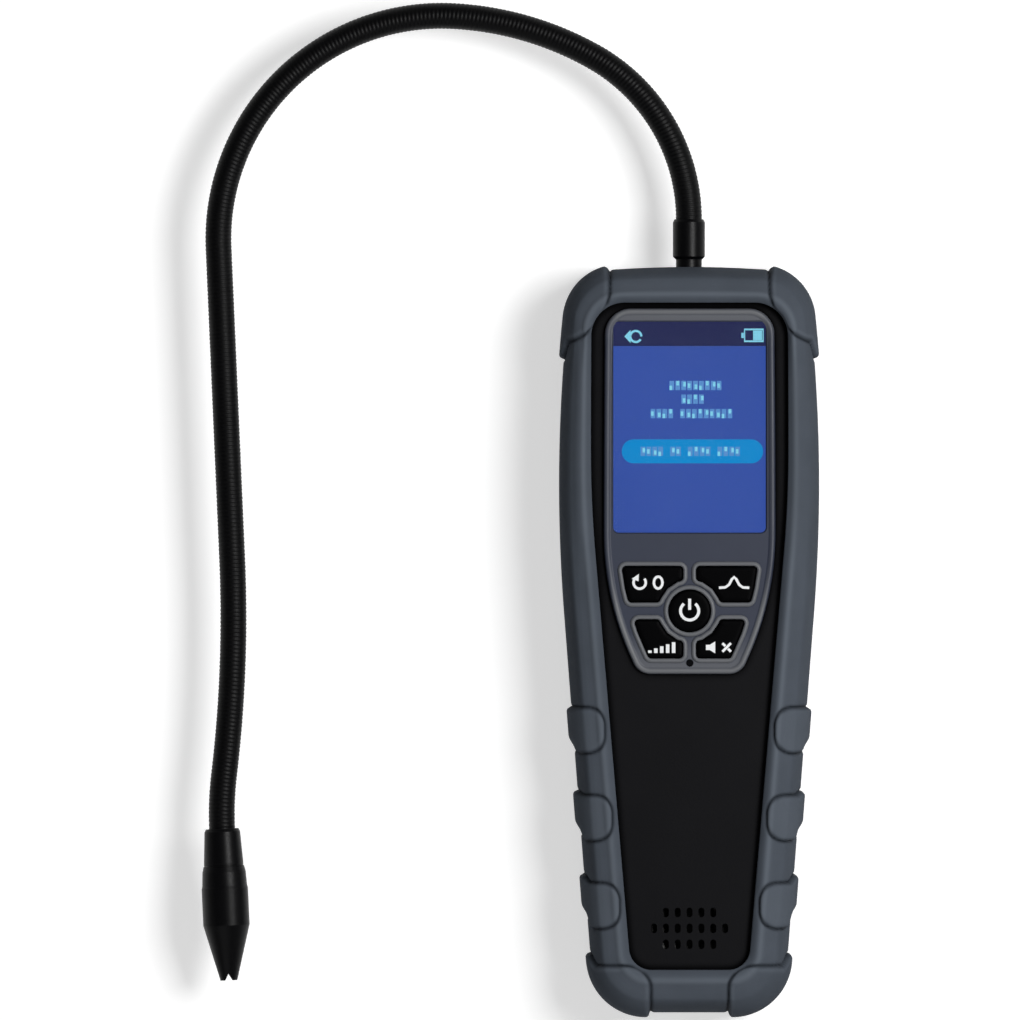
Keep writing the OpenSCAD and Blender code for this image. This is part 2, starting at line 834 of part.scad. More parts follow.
// Plain outline of a shaped key on the left: row 1 is the upper one, row 0 the lower one
module key_blank(row) {
  y0 = row == 1 ? upper_low_y : lower_low_y;
  y1 = row == 1 ? upper_top_y : lower_top_y;
  difference() {
    intersection() {
      polygon(plan(inset(bezel_plan, key_border)));
      translate([-bezel_hw, y0])
        square([bezel_hw - key_split / 2, y1 - y0]);
    }
    translate([0, power_y])
      circle(r = power_d / 2 + power_gap);
  }
}

module key_outline(row) {
  offset(r = key_r, $fn = 16)
    offset(delta = -key_r)
      key_blank(row);
}

module power_outline() {
  translate([0, power_y])
    circle(d = power_d);
}

module key_outlines(grow) {
  offset(r = grow, $fn = 16) {
    both_sides()
      for (row = [0, 1])
        key_outline(row);
    power_outline();
  }
}

window_seat = 1;

module screen_outline() {
  translate([-screen_w / 2, screen_low_y])
    square([screen_w, screen_h]);
}

// The window's corners follow the corners of the faceplate
module window_outline() {
  intersection() {
    offset(delta = window_border)
      screen_outline();
    polygon(plan(inset(bezel_plan, window_seat)));
  }
}

module bezel() {
  color(faceplate_grey)
    difference() {
      union() {
        slab(bezel_plan, bezel_back_z, bezel_face_z);
        translate([0, 0, bezel_face_z - fit]) {
          raised_ring(rim_rise + fit) {
            polygon(plan(bezel_plan));
            polygon(plan(inset(bezel_plan, rim_w)));
          }
          raised_ring(rim_rise + fit) {
            key_outlines(slide_fit + ridge_w);
            key_outlines(slide_fit);
          }
        }
      }
      translate([0, 0, bezel_back_z - over])
        linear_extrude(height = far) {
          key_outlines(slide_fit);
          screen_outline();
          translate([0, led_y])
            circle(d = led_d + 2 * fit);
        }
      translate([0, 0, bezel_back_z - over])
        linear_extrude(height = window_t + fit + over)
          offset(delta = fit)
            window_outline();
    }
}

module display_window() {
  color("#9fb4c8")
    translate([0, 0, bezel_back_z])
      linear_extrude(height = window_t)
        window_outline();
}

module lcd_box(z0, z1, shrink) {
  translate([-lcd_hw + shrink, lcd_low_y + shrink, z0])
    cube([2 * (lcd_hw - shrink), lcd_top_y - lcd_low_y - 2 * shrink, z1 - z0]);
}

glass_inset = 0.3;

module lcd_panel() {
  color("#3954a6")
    lcd_box(lcd_front_z - lcd_t, lcd_front_z, glass_inset);
}

module lcd_backlight() {
  color("#d8dadc")
    lcd_box(board_z, lcd_front_z - lcd_t, 0);
}

// Keys

key_top_z = rim_z - fit;
flange_z = bezel_back_z - fit - flange_t;
switch_top_z = board_z + switch_h;
stem_low_z = switch_top_z + key_travel + fit;
upper_stem_out = 1.5;
lower_stem_in = 1.6;
upper_key_x = (key_split / 2 + bezel_hw - key_border) / 2 + upper_stem_out;
lower_key_x = upper_key_x - lower_stem_in;
upper_key_y = (upper_low_y + upper_top_y) / 2;
lower_key_y = (lower_low_y + lower_top_y) / 2;

module key_body(x, y) {
  translate([0, 0, flange_z])
    linear_extrude(height = key_top_z - flange_z)
      children();
  translate([0, 0, flange_z])
    linear_extrude(height = flange_t)
      offset(delta = flange_w)
        children();
  translate([x, y, stem_low_z])
    cylinder(d = stem_d, h = flange_z + fit - stem_low_z);
}

module upper_key() {
  color(key_black)
    key_body(-upper_key_x, upper_key_y)
      key_outline(1);
}

module lower_key() {
  color(key_black)
    key_body(-lower_key_x, lower_key_y)
      key_outline(0);
}

module key_reset() {
  upper_key();
}

module key_peak() {
  mirror([1, 0, 0])
    upper_key();
}

module key_sens() {
  lower_key();
}

module key_mute() {
  mirror([1, 0, 0])
    lower_key();
}

module key_power() {
  color(key_black)
    key_body(0, power_y)
      power_outline();
}

led_base_d = 3;
led_base_h = 3;

module status_led() {
  color("#30343a")
    translate([0, led_y, board_z]) {
      cylinder(d = led_base_d, h = led_base_h);
      cylinder(d = led_d, h = bezel_face_z - fit - board_z);
    }
}

// Board

board_screw_d = 2;
board_screw_l = 5;
board_head_d = 3.6;
board_head_t = 1.2;

module main_board() {
  color(board_green)
    difference() {
      translate([-lcd_hw, board_low_y, board_z - board_t])
        cube([2 * lcd_hw, lcd_top_y - board_low_y, board_t]);
      both_sides()
        translate([post_x, post_y, board_z - board_t - over])
          cylinder(d = board_screw_d + screw_play, h = board_t + 2 * over);
    }
}

button_part = 0.25;

module tact_switches() {
  color("#3a3a3c")
    for (p = [[-upper_key_x, upper_key_y], [upper_key_x, upper_key_y], [-lower_key_x, lower_key_y],
        [lower_key_x, lower_key_y], [0, power_y]])
      translate([p[0], p[1], board_z]) {
        translate([-switch_w / 2, -switch_w / 2, 0])
          cube([switch_w, switch_w, switch_h * (1 - button_part)]);
        cylinder(d = stem_d - 2 * fit, h = switch_h);
      }
}

module board_screws() {
  color(steel)
    both_sides()
      translate([post_x, post_y, board_z - board_t]) {
        translate([0, 0, -board_head_t])
          cylinder(d = board_head_d, h = board_head_t);
        translate([0, 0, -fit])
          cylinder(d = board_screw_d - pilot_grip, h = board_screw_l);
      }
}

// Speaker

speaker_top_z = case_inner_z - foam_t;
basket_t = 1.4;
magnet_d = 15;
cone_d = 20;

module speaker() {
  color("#3a3d40")
    translate([0, grille_y, speaker_top_z])
      rotate_extrude()
        polygon([[0, -speaker_h], [magnet_d / 2, -speaker_h], [magnet_d / 2, -speaker_h / 2],
          [speaker_d / 2, -basket_t], [speaker_d / 2, 0], [cone_d / 2, 0], [cone_d / 4, -basket_t],
          [0, -basket_t]]);
}

module speaker_ring() {
  color("#26272a")
    translate([0, grille_y, 0])
      tube(speaker_d - 2 * fit, cone_d, speaker_top_z, case_inner_z);
}

// Neck

plug_w = 8;
plug_l = 6;
plug_h = 3;
plug_drop = 12.7;
plug_y = lcd_top_y - plug_drop;
lead_d = 2.2;
shoulder_w = 1.2;
shoulder_d = bushing_d + 2 * shoulder_w;
shoulder_t = 1.2;
tail_d = 5;
spigot_d = 5;
bend_r = board_z - board_t - plug_h - split_z;
tail_y = plug_y + bend_r;
ferrule_y = end_y + bushing_show;
ferrule_top_y = ferrule_y + ferrule_l;
chamfer = 0.8;

module neck_bushing() {
  color(black_abs)
    along_y(0, 0, split_z)
      rotate_extrude()
        polygon([[0, tail_y], [tail_d / 2, tail_y], [tail_d / 2, case_inner_top_y - shoulder_t - fit],
          [shoulder_d / 2, case_inner_top_y - shoulder_t - fit], [shoulder_d / 2, case_inner_top_y - fit],
          [bushing_d / 2, case_inner_top_y - fit], [bushing_d / 2, case_top_y + fit],
          [shoulder_d / 2, case_top_y + fit], [shoulder_d / 2, case_top_y + shoulder_t + fit],
          [bushing_d / 2, case_top_y + shoulder_t + fit], [bushing_d / 2, ferrule_y],
          [spigot_d / 2, ferrule_y], [spigot_d / 2, ferrule_top_y - neck_grip - fit],
          [0, ferrule_top_y - neck_grip - fit]]);
}

module neck_ferrule() {
  color(black_abs)
    along_y(0, 0, split_z)
      rotate_extrude()
        polygon([[spigot_d / 2 + fit / 2, ferrule_y], [ferrule_d / 2 - chamfer, ferrule_y],
          [ferrule_d / 2, ferrule_y + chamfer], [ferrule_d / 2, ferrule_top_y - chamfer],
          [ferrule_d / 2 - chamfer / 2, ferrule_top_y], [neck_d / 2 + fit / 2, ferrule_top_y],
          [neck_d / 2 + fit / 2, ferrule_top_y - neck_grip],
          [spigot_d / 2 + fit / 2, ferrule_top_y - neck_grip]]);
}

// Bends of the neck from the ferrule to the tip, as [radius, turn in degrees], or [0, straight length]
neck_bends = [[0, neck_grip], [rise_r, rise_turn], [crown_r, crown_turn], [fall_r, fall_turn], [0, drop_l],
  [sway_r, -sway_turn], [return_r, return_turn], [0, neck_grip]];
neck_start = [0, ferrule_top_y - neck_grip, 90];
neck_step = 5;
neck_sides = 16;

// Place and heading after part t of a bend, from place and heading s
function bend_on(s, b, t) =
  b[0] == 0 ? [s[0] + b[1] * t * cos(s[2]), s[1] + b[1] * t * sin(s[2]), s[2]] :
  let (r = b[0] * sign(b[1]), h = s[2] + b[1] * t)
  [s[0] + r * (sin(h) - sin(s[2])), s[1] - r * (cos(h) - cos(s[2])), h];

function neck_at(i) = i == 0 ? neck_start : bend_on(neck_at(i - 1), neck_bends[i - 1], 1);

function bend_length(b) = b[0] == 0 ? b[1] : b[0] * abs(b[1]) * PI / 180;

neck_stations = concat([neck_start], [for (i = [0 : len(neck_bends) - 1])
  let (b = neck_bends[i], s = neck_at(i), n = ceil(bend_length(b) / (b[0] == 0 ? far : neck_step)))
  for (k = [1 : n]) bend_on(s, b, k / n)]);

module gooseneck() {
  color(black_abs)
    loft([for (s = neck_stations) [for (k = [0 : neck_sides - 1])
      let (a = 360 * k / neck_sides, q = neck_d / 2 * cos(a))
      [s[0] - q * sin(s[2]), s[1] + q * cos(s[2]), split_z + neck_d / 2 * sin(a)]]]);
}

module probe_lead() {
  color("#202124")
    translate([0, plug_y + bend_r, split_z + bend_r])
      rotate([90, 180, 90])
        rotate_extrude(angle = 90)
          translate([bend_r, 0])
            circle(d = lead_d);
}

module probe_plug() {
  color("#e4e2d8")
    translate([-plug_w / 2, plug_y - plug_l / 2, board_z - board_t - plug_h])
      cube([plug_w, plug_l, plug_h]);
}

// Sensor tip, along its own axis from the collar's upper end

tip_place = neck_at(len(neck_bends) - 1);
collar_flare = 0.5;
cover_wall = 1.7;
socket_d = tip_d - 2 * cover_wall;
socket_l = 6;
socket_end = collar_l + socket_l;
cover_start = collar_l + fit;
barrel_end = cover_start + barrel_l;
tip_end = barrel_end + nose_l;
cover_bore = socket_d + fit;
sensor_l = 8;
sensor_end = socket_end + sensor_l;
filter_seat = sensor_end + slide_fit + filter_t + fit;
ring_part = 0.38;
ring_step = 0.4;
pin_n = 3;
pin_d = 0.9;
pin_l = 3;
pin_circle = 3.6;

module at_tip() {
  translate([tip_place[0], tip_place[1], split_z])
    rotate([0, 0, tip_place[2]])
      rotate([0, 90, 0])
        children();
}

module at_pins() {
  for (i = [0 : pin_n - 1])
    rotate([0, 0, 360 * i / pin_n])
      translate([pin_circle / 2, 0, 0])
        children();
}

module tip_collar() {
  color(black_abs)
    at_tip()
      difference() {
        rotate_extrude()
          polygon([[0, neck_grip + fit], [neck_d / 2 + fit / 2, neck_grip + fit], [neck_d / 2 + fit / 2, 0],
            [collar_d / 2 - chamfer / 2, 0], [collar_d / 2, chamfer],
            [collar_d / 2 + collar_flare, collar_l - chamfer], [collar_d / 2 + collar_flare, collar_l],
            [socket_d / 2, collar_l], [socket_d / 2, socket_end], [0, socket_end]]);
        at_pins()
          translate([0, 0, socket_end - pin_l - fit])
            cylinder(d = pin_d + fit, h = pin_l + over);
      }
}

module sensor() {
  color(brass)
    at_tip() {
      translate([0, 0, socket_end])
        cylinder(d = sensor_d, h = sensor_l);
      at_pins()
        translate([0, 0, socket_end - pin_l])
          cylinder(d = pin_d, h = pin_l + fit);
    }
}

module sensor_filter() {
  color("#d9d4c4")
    at_tip()
      translate([0, 0, filter_seat - filter_t])
        cylinder(d = cover_bore - fit, h = filter_t);
}

module tip_cover() {
  ring_at = cover_start + barrel_l * ring_part;
  color(black_abs)
    at_tip()
      difference() {
        rotate_extrude()
          polygon([[cover_bore / 2, cover_start], [tip_d / 2 - chamfer, cover_start],
            [tip_d / 2 - ring_step, cover_start + 2 * chamfer],
            [tip_d / 2 - ring_step / 2, ring_at - chamfer],
            [tip_d / 2, ring_at], [tip_d / 2, barrel_end],
            [nose_d / 2, tip_end], [nose_bore / 2, tip_end], [nose_bore / 2, filter_seat + nose_l / 3],
            [cover_bore / 2 - chamfer, filter_seat], [cover_bore / 2, filter_seat]]);
        translate([-tip_d, 0, tip_end])
          rotate([90, 0, 90])
            linear_extrude(height = 2 * tip_d)
              polygon([[-notch_w / 2, over], [-notch_w / 2, 0], [0, -notch_l], [notch_w / 2, 0],
                [notch_w / 2, over]]);
      }
}

boot();
front_case();
rear_case();
case_screws();
battery_door();
battery_cells();
battery_springs();
battery_plates();
bezel();
display_window();
lcd_panel();
lcd_backlight();
key_reset();
key_peak();
key_sens();
key_mute();
key_power();
status_led();
main_board();
tact_switches();
board_screws();
speaker();
speaker_ring();
neck_bushing();
neck_ferrule();
gooseneck();
probe_lead();
probe_plug();
tip_collar();
sensor();
sensor_filter();
tip_cover();
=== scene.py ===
# %% [markdown]
# # Refrigerant leak detector
# A handheld detector lies on its back: a black case in a slate rubber boot, a colour display over a
# keypad, and a bendable neck with a sensor tip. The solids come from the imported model, which is loaded
# first and stays where it is. The steps below give it its moulded rubber, its grained plastic, its ribbed
# neck, its printed keys and its lit picture.

# %% Frame
import math

import bpy
import numpy as np
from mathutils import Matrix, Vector
from mathutils.geometry import tessellate_polygon


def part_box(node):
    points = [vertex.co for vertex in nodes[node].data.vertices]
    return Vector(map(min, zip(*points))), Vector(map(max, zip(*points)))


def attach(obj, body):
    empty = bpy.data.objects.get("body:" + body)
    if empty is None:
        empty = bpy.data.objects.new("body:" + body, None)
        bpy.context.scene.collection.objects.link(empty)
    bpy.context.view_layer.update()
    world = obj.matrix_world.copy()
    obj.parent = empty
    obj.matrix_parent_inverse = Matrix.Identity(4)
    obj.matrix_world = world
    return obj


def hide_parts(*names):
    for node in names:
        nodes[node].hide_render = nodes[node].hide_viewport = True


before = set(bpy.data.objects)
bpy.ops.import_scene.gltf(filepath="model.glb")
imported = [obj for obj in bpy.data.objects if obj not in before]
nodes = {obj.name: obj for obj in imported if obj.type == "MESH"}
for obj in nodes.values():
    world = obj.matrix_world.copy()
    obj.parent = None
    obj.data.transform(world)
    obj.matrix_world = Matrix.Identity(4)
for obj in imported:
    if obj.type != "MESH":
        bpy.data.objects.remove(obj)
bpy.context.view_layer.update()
MM = 0.001

# %% [markdown]
# ## Camera
# The photograph looks straight down at the front through a long lens, so a camera high above the part
# with a narrow angle gives the same flat view. An orthographic camera would be the other way, but a long
# lens also keeps its perspective in the views from the side.

# %% Camera
# In millimetres: the side of the square view and its middle, the height of the part's face, the camera's
# height over that, and the width of its sensor
VIEW_MM = 275.4
VIEW_CENTRE = (-48.5, 35.4)
FACE_Z = 35.0
CAMERA_ABOVE = 4000.0
SENSOR_MM = 36.0
# How far the camera sees, in metres
FAR_CLIP = 20.0

camera_data = bpy.data.cameras.new("camera")
camera_data.sensor_width = SENSOR_MM
camera_data.lens = SENSOR_MM * CAMERA_ABOVE / VIEW_MM
camera_data.clip_end = FAR_CLIP
camera = bpy.data.objects.new("camera", camera_data)
camera.location = (VIEW_CENTRE[0] * MM, VIEW_CENTRE[1] * MM, (FACE_Z + CAMERA_ABOVE) * MM)
bpy.context.collection.objects.link(camera)
bpy.context.scene.camera = camera
print("lens", round(camera_data.lens), "mm")

# %% [markdown]
# ## Light
# A soft box up to the right gives the broad light and the narrow streak along the neck. A second, weaker
# one from the lower left and a pale sky fill the shadows. The sky is bright at the horizon and dark overhead,
# like a studio with a black ceiling, so that flat black plastic stays black seen from above.

# %% Light
def feed(tree, node, inputs):
    """Sets or links a node's inputs."""
    for key, value in inputs.items():
        if isinstance(value, bpy.types.NodeSocket):
            tree.links.new(value, node.inputs[key])
        else:
            node.inputs[key].default_value = value


def add(tree, kind, inputs=None, **settings):
    """Adds a node with its settings and its inputs."""
    made = tree.nodes.new(kind)
    for key, value in settings.items():
        setattr(made, key, value)
    feed(tree, made, inputs or {})
    return made


def soft_box(name, place, aim, size, watts):
    """A rectangular light that looks from a place to an aim, all in metres."""
    light = bpy.data.lights.new(name, "AREA")
    light.shape = "RECTANGLE"
    light.size, light.size_y = size
    light.energy = watts
    lamp = bpy.data.objects.new(name, light)
    lamp.location = place
    lamp.rotation_euler = (Vector(aim) - Vector(place)).to_track_quat("-Z", "Y").to_euler()
    bpy.context.collection.objects.link(lamp)
    return lamp


BODY_TOP = (0.0, 0.0, 0.03)
soft_box("key_light", (0.48, 0.18, 0.96), BODY_TOP, (0.4, 0.4), 10.0)
soft_box("fill_light", (-0.35, -0.8, 0.8), BODY_TOP, (0.9, 0.9), 2.0)

# Brightness of the sky at the horizon and overhead, and the heights between which it fades
HORIZON, OVERHEAD, FADE_LOW, FADE_HIGH = 0.35, 0.06, 0.1, 0.7
world = bpy.data.worlds.new("studio")
world.use_nodes = True
sky = world.node_tree
sky.nodes.clear()
direction = add(sky, "ShaderNodeTexCoord")
height = add(sky, "ShaderNodeSeparateXYZ", {0: direction.outputs["Generated"]})
fade = add(sky, "ShaderNodeMapRange", {"Value": height.outputs["Z"], "From Min": FADE_LOW,
                                       "From Max": FADE_HIGH, "To Min": HORIZON, "To Max": OVERHEAD},
           interpolation_type="SMOOTHSTEP")
shade = add(sky, "ShaderNodeCombineColor", {0: fade.outputs[0], 1: fade.outputs[0], 2: fade.outputs[0]})
glow = add(sky, "ShaderNodeBackground", {"Color": shade.outputs[0], "Strength": 1.0})
add(sky, "ShaderNodeOutputWorld", {"Surface": glow.outputs[0]})
bpy.context.scene.world = world
bpy.context.scene.view_settings.view_transform = "Standard"

# %% [markdown]
# ## Moulded plastic and rubber
# Injection-moulded parts take the texture of a spark-eroded or etched steel mould: a fine, even grain
# that breaks up the gloss, with slow changes of tone over the surface. One function makes that finish,
# and each real material sets its own colour, grain and gloss. The grain sizes are worked out in
# millimetres. The real grain is near 0.1 mm, and it is drawn a little coarser so that it shows.

# %% Moulded finishes
# Most values of a noise texture lie between these
NOISE_LOW, NOISE_HIGH = 0.3, 0.7


def linear(code):
    """An sRGB hex colour as linear light."""
    parts = [int(code[i:i + 2], 16) / 255 for i in (1, 3, 5)]
    return [v / 12.92 if v <= 0.04045 else ((v + 0.055) / 1.055) ** 2.4 for v in parts] + [1.0]


def per_mm(size):
    """Texture scale for a pattern of that size in millimetres."""
    return 1.0 / (size * MM)


def new_finish(name):
    """A new material, its nodes, its shader, and the place on the object that patterns follow."""
    material = bpy.data.materials.new(name)
    material.use_nodes = True
    tree = material.node_tree
    return material, tree, tree.nodes["Principled BSDF"], add(tree, "ShaderNodeTexCoord").outputs["Object"]


def moulded(name, dark, light, grain, depth, gloss, ior=1.5, mottle=14.0, level=0.5):
    """A grained finish: colours, grain size and depth in mm, range of roughness, and size of the mottle."""
    material, tree, shader, place = new_finish(name)
    cloud = add(tree, "ShaderNodeTexNoise", {"Vector": place, "Scale": per_mm(mottle), "Detail": 3.0})
    speck = add(tree, "ShaderNodeTexNoise", {"Vector": place, "Scale": per_mm(grain), "Detail": 2.0})
    tone = add(tree, "ShaderNodeMix", {"Factor": cloud.outputs["Fac"], 6: linear(dark), 7: linear(light)},
               data_type="RGBA")
    rough = add(tree, "ShaderNodeMapRange", {"Value": speck.outputs["Fac"], "From Min": NOISE_LOW,
                                             "From Max": NOISE_HIGH, "To Min": gloss[0], "To Max": gloss[1]})
    bump = add(tree, "ShaderNodeBump", {"Height": speck.outputs["Fac"], "Strength": 1.0,
                                        "Distance": depth * MM})
    feed(tree, shader, {"Base Color": tone.outputs[2], "Roughness": rough.outputs[0],
                        "Normal": bump.outputs[0], "IOR": ior, "Specular IOR Level": level})
    return material


print("scale of a pattern of 1 mm", round(per_mm(1.0)))

# %% [markdown]
# ## Boot outline
# The boot is one rubber moulding, and its corner bumpers and side grips are what makes this detector look
# like itself. Its outline bulges beside the display and tapers to the grip. The same few radii that the
# solids use give that outline here, with many more points, so that the pads can have soft edges.

# %% Boot outline
# Half width, height of the widest place, side radius above and below it, taper in degrees, top, bottom,
# top corner radius, bottom corner radius. The boot is a hair narrower than in the solids, so that the finer
# outline stays inside their box.
BOOT = (35.17, 42.4, 454.0, 454.0, 4.4, 100.6, -100.6, 14.0, 15.0)
OPENING = (26.65, 51.6, 5000.0, 324.0, 4.86, 91.4, -88.8, 9.0, 6.0)
FACEPLATE = (23.2, 29.3, 5000.0, 81.0, 80.0, 89.8, -8.9, 7.0, 5.0)
SMALLEST_R = 0.5
# Rise of the boot's top end towards the neck
TOP_CROWN = 0.6


def inset(plan, d):
    """A plan drawn in by a distance on every side."""
    half, widest, above, below, taper, top, bottom, top_r, bottom_r = plan
    return (half - d, widest, above - d, below - d, taper, top - d, bottom + d,
            max(top_r - d, SMALLEST_R), max(bottom_r - d, SMALLEST_R))


def side_x(plan, y):
    """Half width of a plan at a height."""
    half, widest, above, below, taper = plan[:5]
    if y >= widest:
        return half - above + math.sqrt(above ** 2 - (y - widest) ** 2)
    down, turn = widest - y, math.radians(taper)
    curve = below * math.sin(turn)
    if down <= curve:
        return half - below + math.sqrt(below ** 2 - down ** 2)
    return half - below * (1 - math.cos(turn)) - (down - curve) * math.tan(turn)


def side_turn(plan, y):
    """Way that the side faces at a height, as a turn from straight out."""
    widest, above, below, taper = plan[1:5]
    if y >= widest:
        return math.asin((y - widest) / above)
    return -min(math.radians(taper), math.asin(min(1.0, (widest - y) / below)))


def outline(plan, end_n, corner_n, side_n, crown=0.0):
    """Points of a plan, counterclockwise from the middle of its bottom end."""
    bottom_r, top_r = plan[8], plan[7]
    low_y, top_y = plan[6] + bottom_r, plan[5] - top_r

    def corner(y, r, start, stop):
        x = side_x(plan, y) - r / math.cos(side_turn(plan, y))
        turns = [start + (stop - start) * i / corner_n for i in range(corner_n + 1)]
        return [(x + r * math.cos(a), y + r * math.sin(a)) for a in turns]

    low = corner(low_y, bottom_r, -math.pi / 2, side_turn(plan, low_y))
    top = corner(top_y, top_r, side_turn(plan, top_y), math.pi / 2)
    heights = [low[-1][1] + (top[0][1] - low[-1][1]) * i / side_n for i in range(1, side_n)]
    bottom_end = [(low[0][0] * i / end_n, plan[6]) for i in range(end_n)]
    shares = [1 - i / end_n for i in range(1, end_n)]
    top_end = [(top[-1][0] * t, plan[5] + crown * (1 - t * t)) for t in shares]
    right = bottom_end + low + [(side_x(plan, y), y) for y in heights] + top + top_end
    return right + [(0.0, plan[5] + crown)] + [(-x, y) for x, y in reversed(right[1:])]


# Points on half an end, on a corner and on a side
FINE = (34, 40, 420)
boot_edge = outline(BOOT, *FINE, TOP_CROWN)
opening_edge = outline(OPENING, *FINE)
print("boot outline", len(boot_edge), "points")

# %% [markdown]
# ## Boot surface
# The front band rises from the side wall in a sloping face to a rounded ridge, and drops from there into
# the opening. Beside the display the slope turns into a fuller curve. The band is a table of heights
# across its width, and a smooth curve runs through them.

# %% Boot surface
# Shares of the band's width from the edge to the opening, and the heights there of a sloping and a full band
BAND_U = (0.0, 0.02, 0.06, 0.12, 0.20, 0.30, 0.42, 0.54, 0.64, 0.72, 0.79, 0.86, 0.93, 0.98, 1.0)
SLOPED_Z = (24.5, 26.3, 28.2, 30.4, 32.8, 34.7, 35.5, 35.95, 36.35, 36.85, 37.0, 36.8, 36.3, 35.8, 35.6)
ROUND_Z = (25.5, 28.2, 30.0, 31.7, 33.4, 34.8, 35.8, 36.6, 36.95, 37.0, 36.85, 36.55, 36.1, 35.75, 35.6)
# The band turns full and back again between these heights along the boot
FULL_FROM, FULL_AT, FULL_TO, FULL_END = 10.6, 38.6, 72.4, 91.4
# Rings on the band, how many of them lie close together near the edge, and where those end
BAND_N, EDGE_N, EDGE_U = 46, 14, 0.12
# Rounding of the back, its rings, and the rings on the side wall
BACK_R, BACK_N, WALL_N = 5.0, 7, 5


def smooth(value, low, high):
    """Goes from 0 to 1 in a soft step while a value goes from low to high."""
    t = np.clip((value - low) / (high - low), 0.0, 1.0)
    return t * t * (3 - 2 * t)


def through(knots, values, at):
    """A smooth curve through a table of values."""
    slopes = np.gradient(np.array(values), np.array(knots))
    i = np.clip(np.searchsorted(knots, at, side="right") - 1, 0, len(knots) - 2)
    k, v, m = np.array(knots), np.array(values), slopes
    h = k[i + 1] - k[i]
    t = (at - k[i]) / h
    return ((2 * t ** 3 - 3 * t ** 2 + 1) * v[i] + (t ** 3 - 2 * t ** 2 + t) * h * m[i]
            + (-2 * t ** 3 + 3 * t ** 2) * v[i + 1] + (t ** 3 - t ** 2) * h * m[i + 1])


def at_height(loop, z):
    """A flat outline as points at one height."""
    return [(x, y, z) for x, y in loop]


outer = np.array(boot_edge)
inner = np.array(opening_edge)
fuller = smooth(outer[:, 1], FULL_FROM, FULL_AT) * (1 - smooth(outer[:, 1], FULL_TO, FULL_END))
across = np.concatenate([EDGE_U * np.linspace(0, 1, EDGE_N) ** 2,
                         np.linspace(EDGE_U, 1, BAND_N - EDGE_N + 1)[1:]])
rings = []
for i in range(BACK_N + 1):
    a = math.pi / 2 * i / BACK_N
    edge = outline(inset(BOOT, BACK_R * (1 - math.sin(a))), *FINE, TOP_CROWN)
    rings.append(at_height(edge, BACK_R * (1 - math.cos(a))))
for i in range(1, WALL_N):
    rings.append(at_height(boot_edge, BACK_R + (SLOPED_Z[0] - BACK_R) * i / WALL_N))
for u in across:
    z = through(BAND_U, SLOPED_Z, u) * (1 - fuller) + through(BAND_U, ROUND_Z, u) * fuller
    flat = outer + (inner - outer) * u
    rings.append(np.column_stack([flat, z]))
skin = np.array([np.array(r) for r in rings])
print("boot skin", skin.shape)

# %% [markdown]
# ## Bumpers and grips
# The pads are raised by a good millimetre, with a narrow groove moulded round them, which reads as a dark
# line, deepened by painted shade in the rubber's colour. A distance to each pad's edge says how far inside or
# outside of it a point is, and the skin moves along its normals by that. Cutting the pads in with booleans
# would leave hard seams.

# %% Bumpers and grips
# Rise of the pads on the side wall and on the front, and the shares of the band between which it changes
PAD_RISE, FRONT_RISE, RISE_FROM, RISE_TO = 1.34, 0.5, 0.06, 0.3
# Heights of the grips' middles, their height, corner radius and distance from the opening
GRIP_Y = (-71.5, -47.8, -24.1)
GRIP_H, GRIP_R, GRIP_MARGIN = 11.6, 4.6, 1.8
# Bumpers as height of their edge, way that they face, reach along the end, and corner radius
BUMPERS = ((80.6, 1, 9.4, 15.0), (-88.1, -1, 14.6, 6.0))
# On the side wall and the band's edge the pads lean towards the middle of the handle, and the grips fade out
# downward
LEAN, LEAN_FROM, LEAN_TO, GRIP_FADE = 0.045, -18.0, 0.16, 4.0
# From its foot in the groove a pad's edge rounds over into its top
FOOT_AT, SHOULDER = -0.3, 1.3
# The groove's distance from a pad's edge, its width and its depth
GROOVE_AT, GROOVE_W, GROOVE_DEPTH = -0.5, 0.42, 0.4
# Share of the band from which the pads run out towards the lip, and a distance outside of every pad
LIP_FROM, FAR_OUT = 0.9, -99.0


def corner_distance(dx, dy, r):
    """Distance inside a rounded corner whose edges lie dx and dy away, both less r."""
    outside = np.hypot(np.maximum(dx, 0), np.maximum(dy, 0))
    return r - outside - np.minimum(np.maximum(dx, dy), 0)


ring_u = np.concatenate([np.zeros(len(rings) - len(across)), across])[:, None]
wall_part = 1 - smooth(ring_u, RISE_FROM, RISE_TO)
rim_part = 1 - smooth(ring_u, 0.0, LEAN_TO)
x, y = np.abs(skin[:, :, 0]), skin[:, :, 1]
y = y + LEAN * (y - LEAN_FROM) * rim_part
inside = np.full(x.shape, FAR_OUT)
fade = np.ones(x.shape)
for grip_y in GRIP_Y:
    end = side_x(OPENING, grip_y) + GRIP_MARGIN
    away = np.abs(y - grip_y) - GRIP_H / 2
    inside = np.maximum(inside, corner_distance(end + GRIP_R - x, away + GRIP_R, GRIP_R))
    low_end = smooth(y - grip_y + GRIP_H / 2, 0, GRIP_FADE)
    fade = np.where(away < -FOOT_AT, 1 - rim_part * (1 - low_end), fade)
in_grip = inside
for bumper_y, way, reach, r in BUMPERS:
    end = side_x(BOOT, way * BOOT[5]) - reach
    inside = np.maximum(inside, corner_distance(end + r - x, way * (bumper_y - y) + r, r))

along = np.roll(skin, -1, axis=1) - np.roll(skin, 1, axis=1)
upward = np.gradient(skin, axis=0)
normal = np.cross(along, upward)
normal /= np.linalg.norm(normal, axis=2, keepdims=True)
normal[:, :, 2] = np.maximum(normal[:, :, 2], 0)
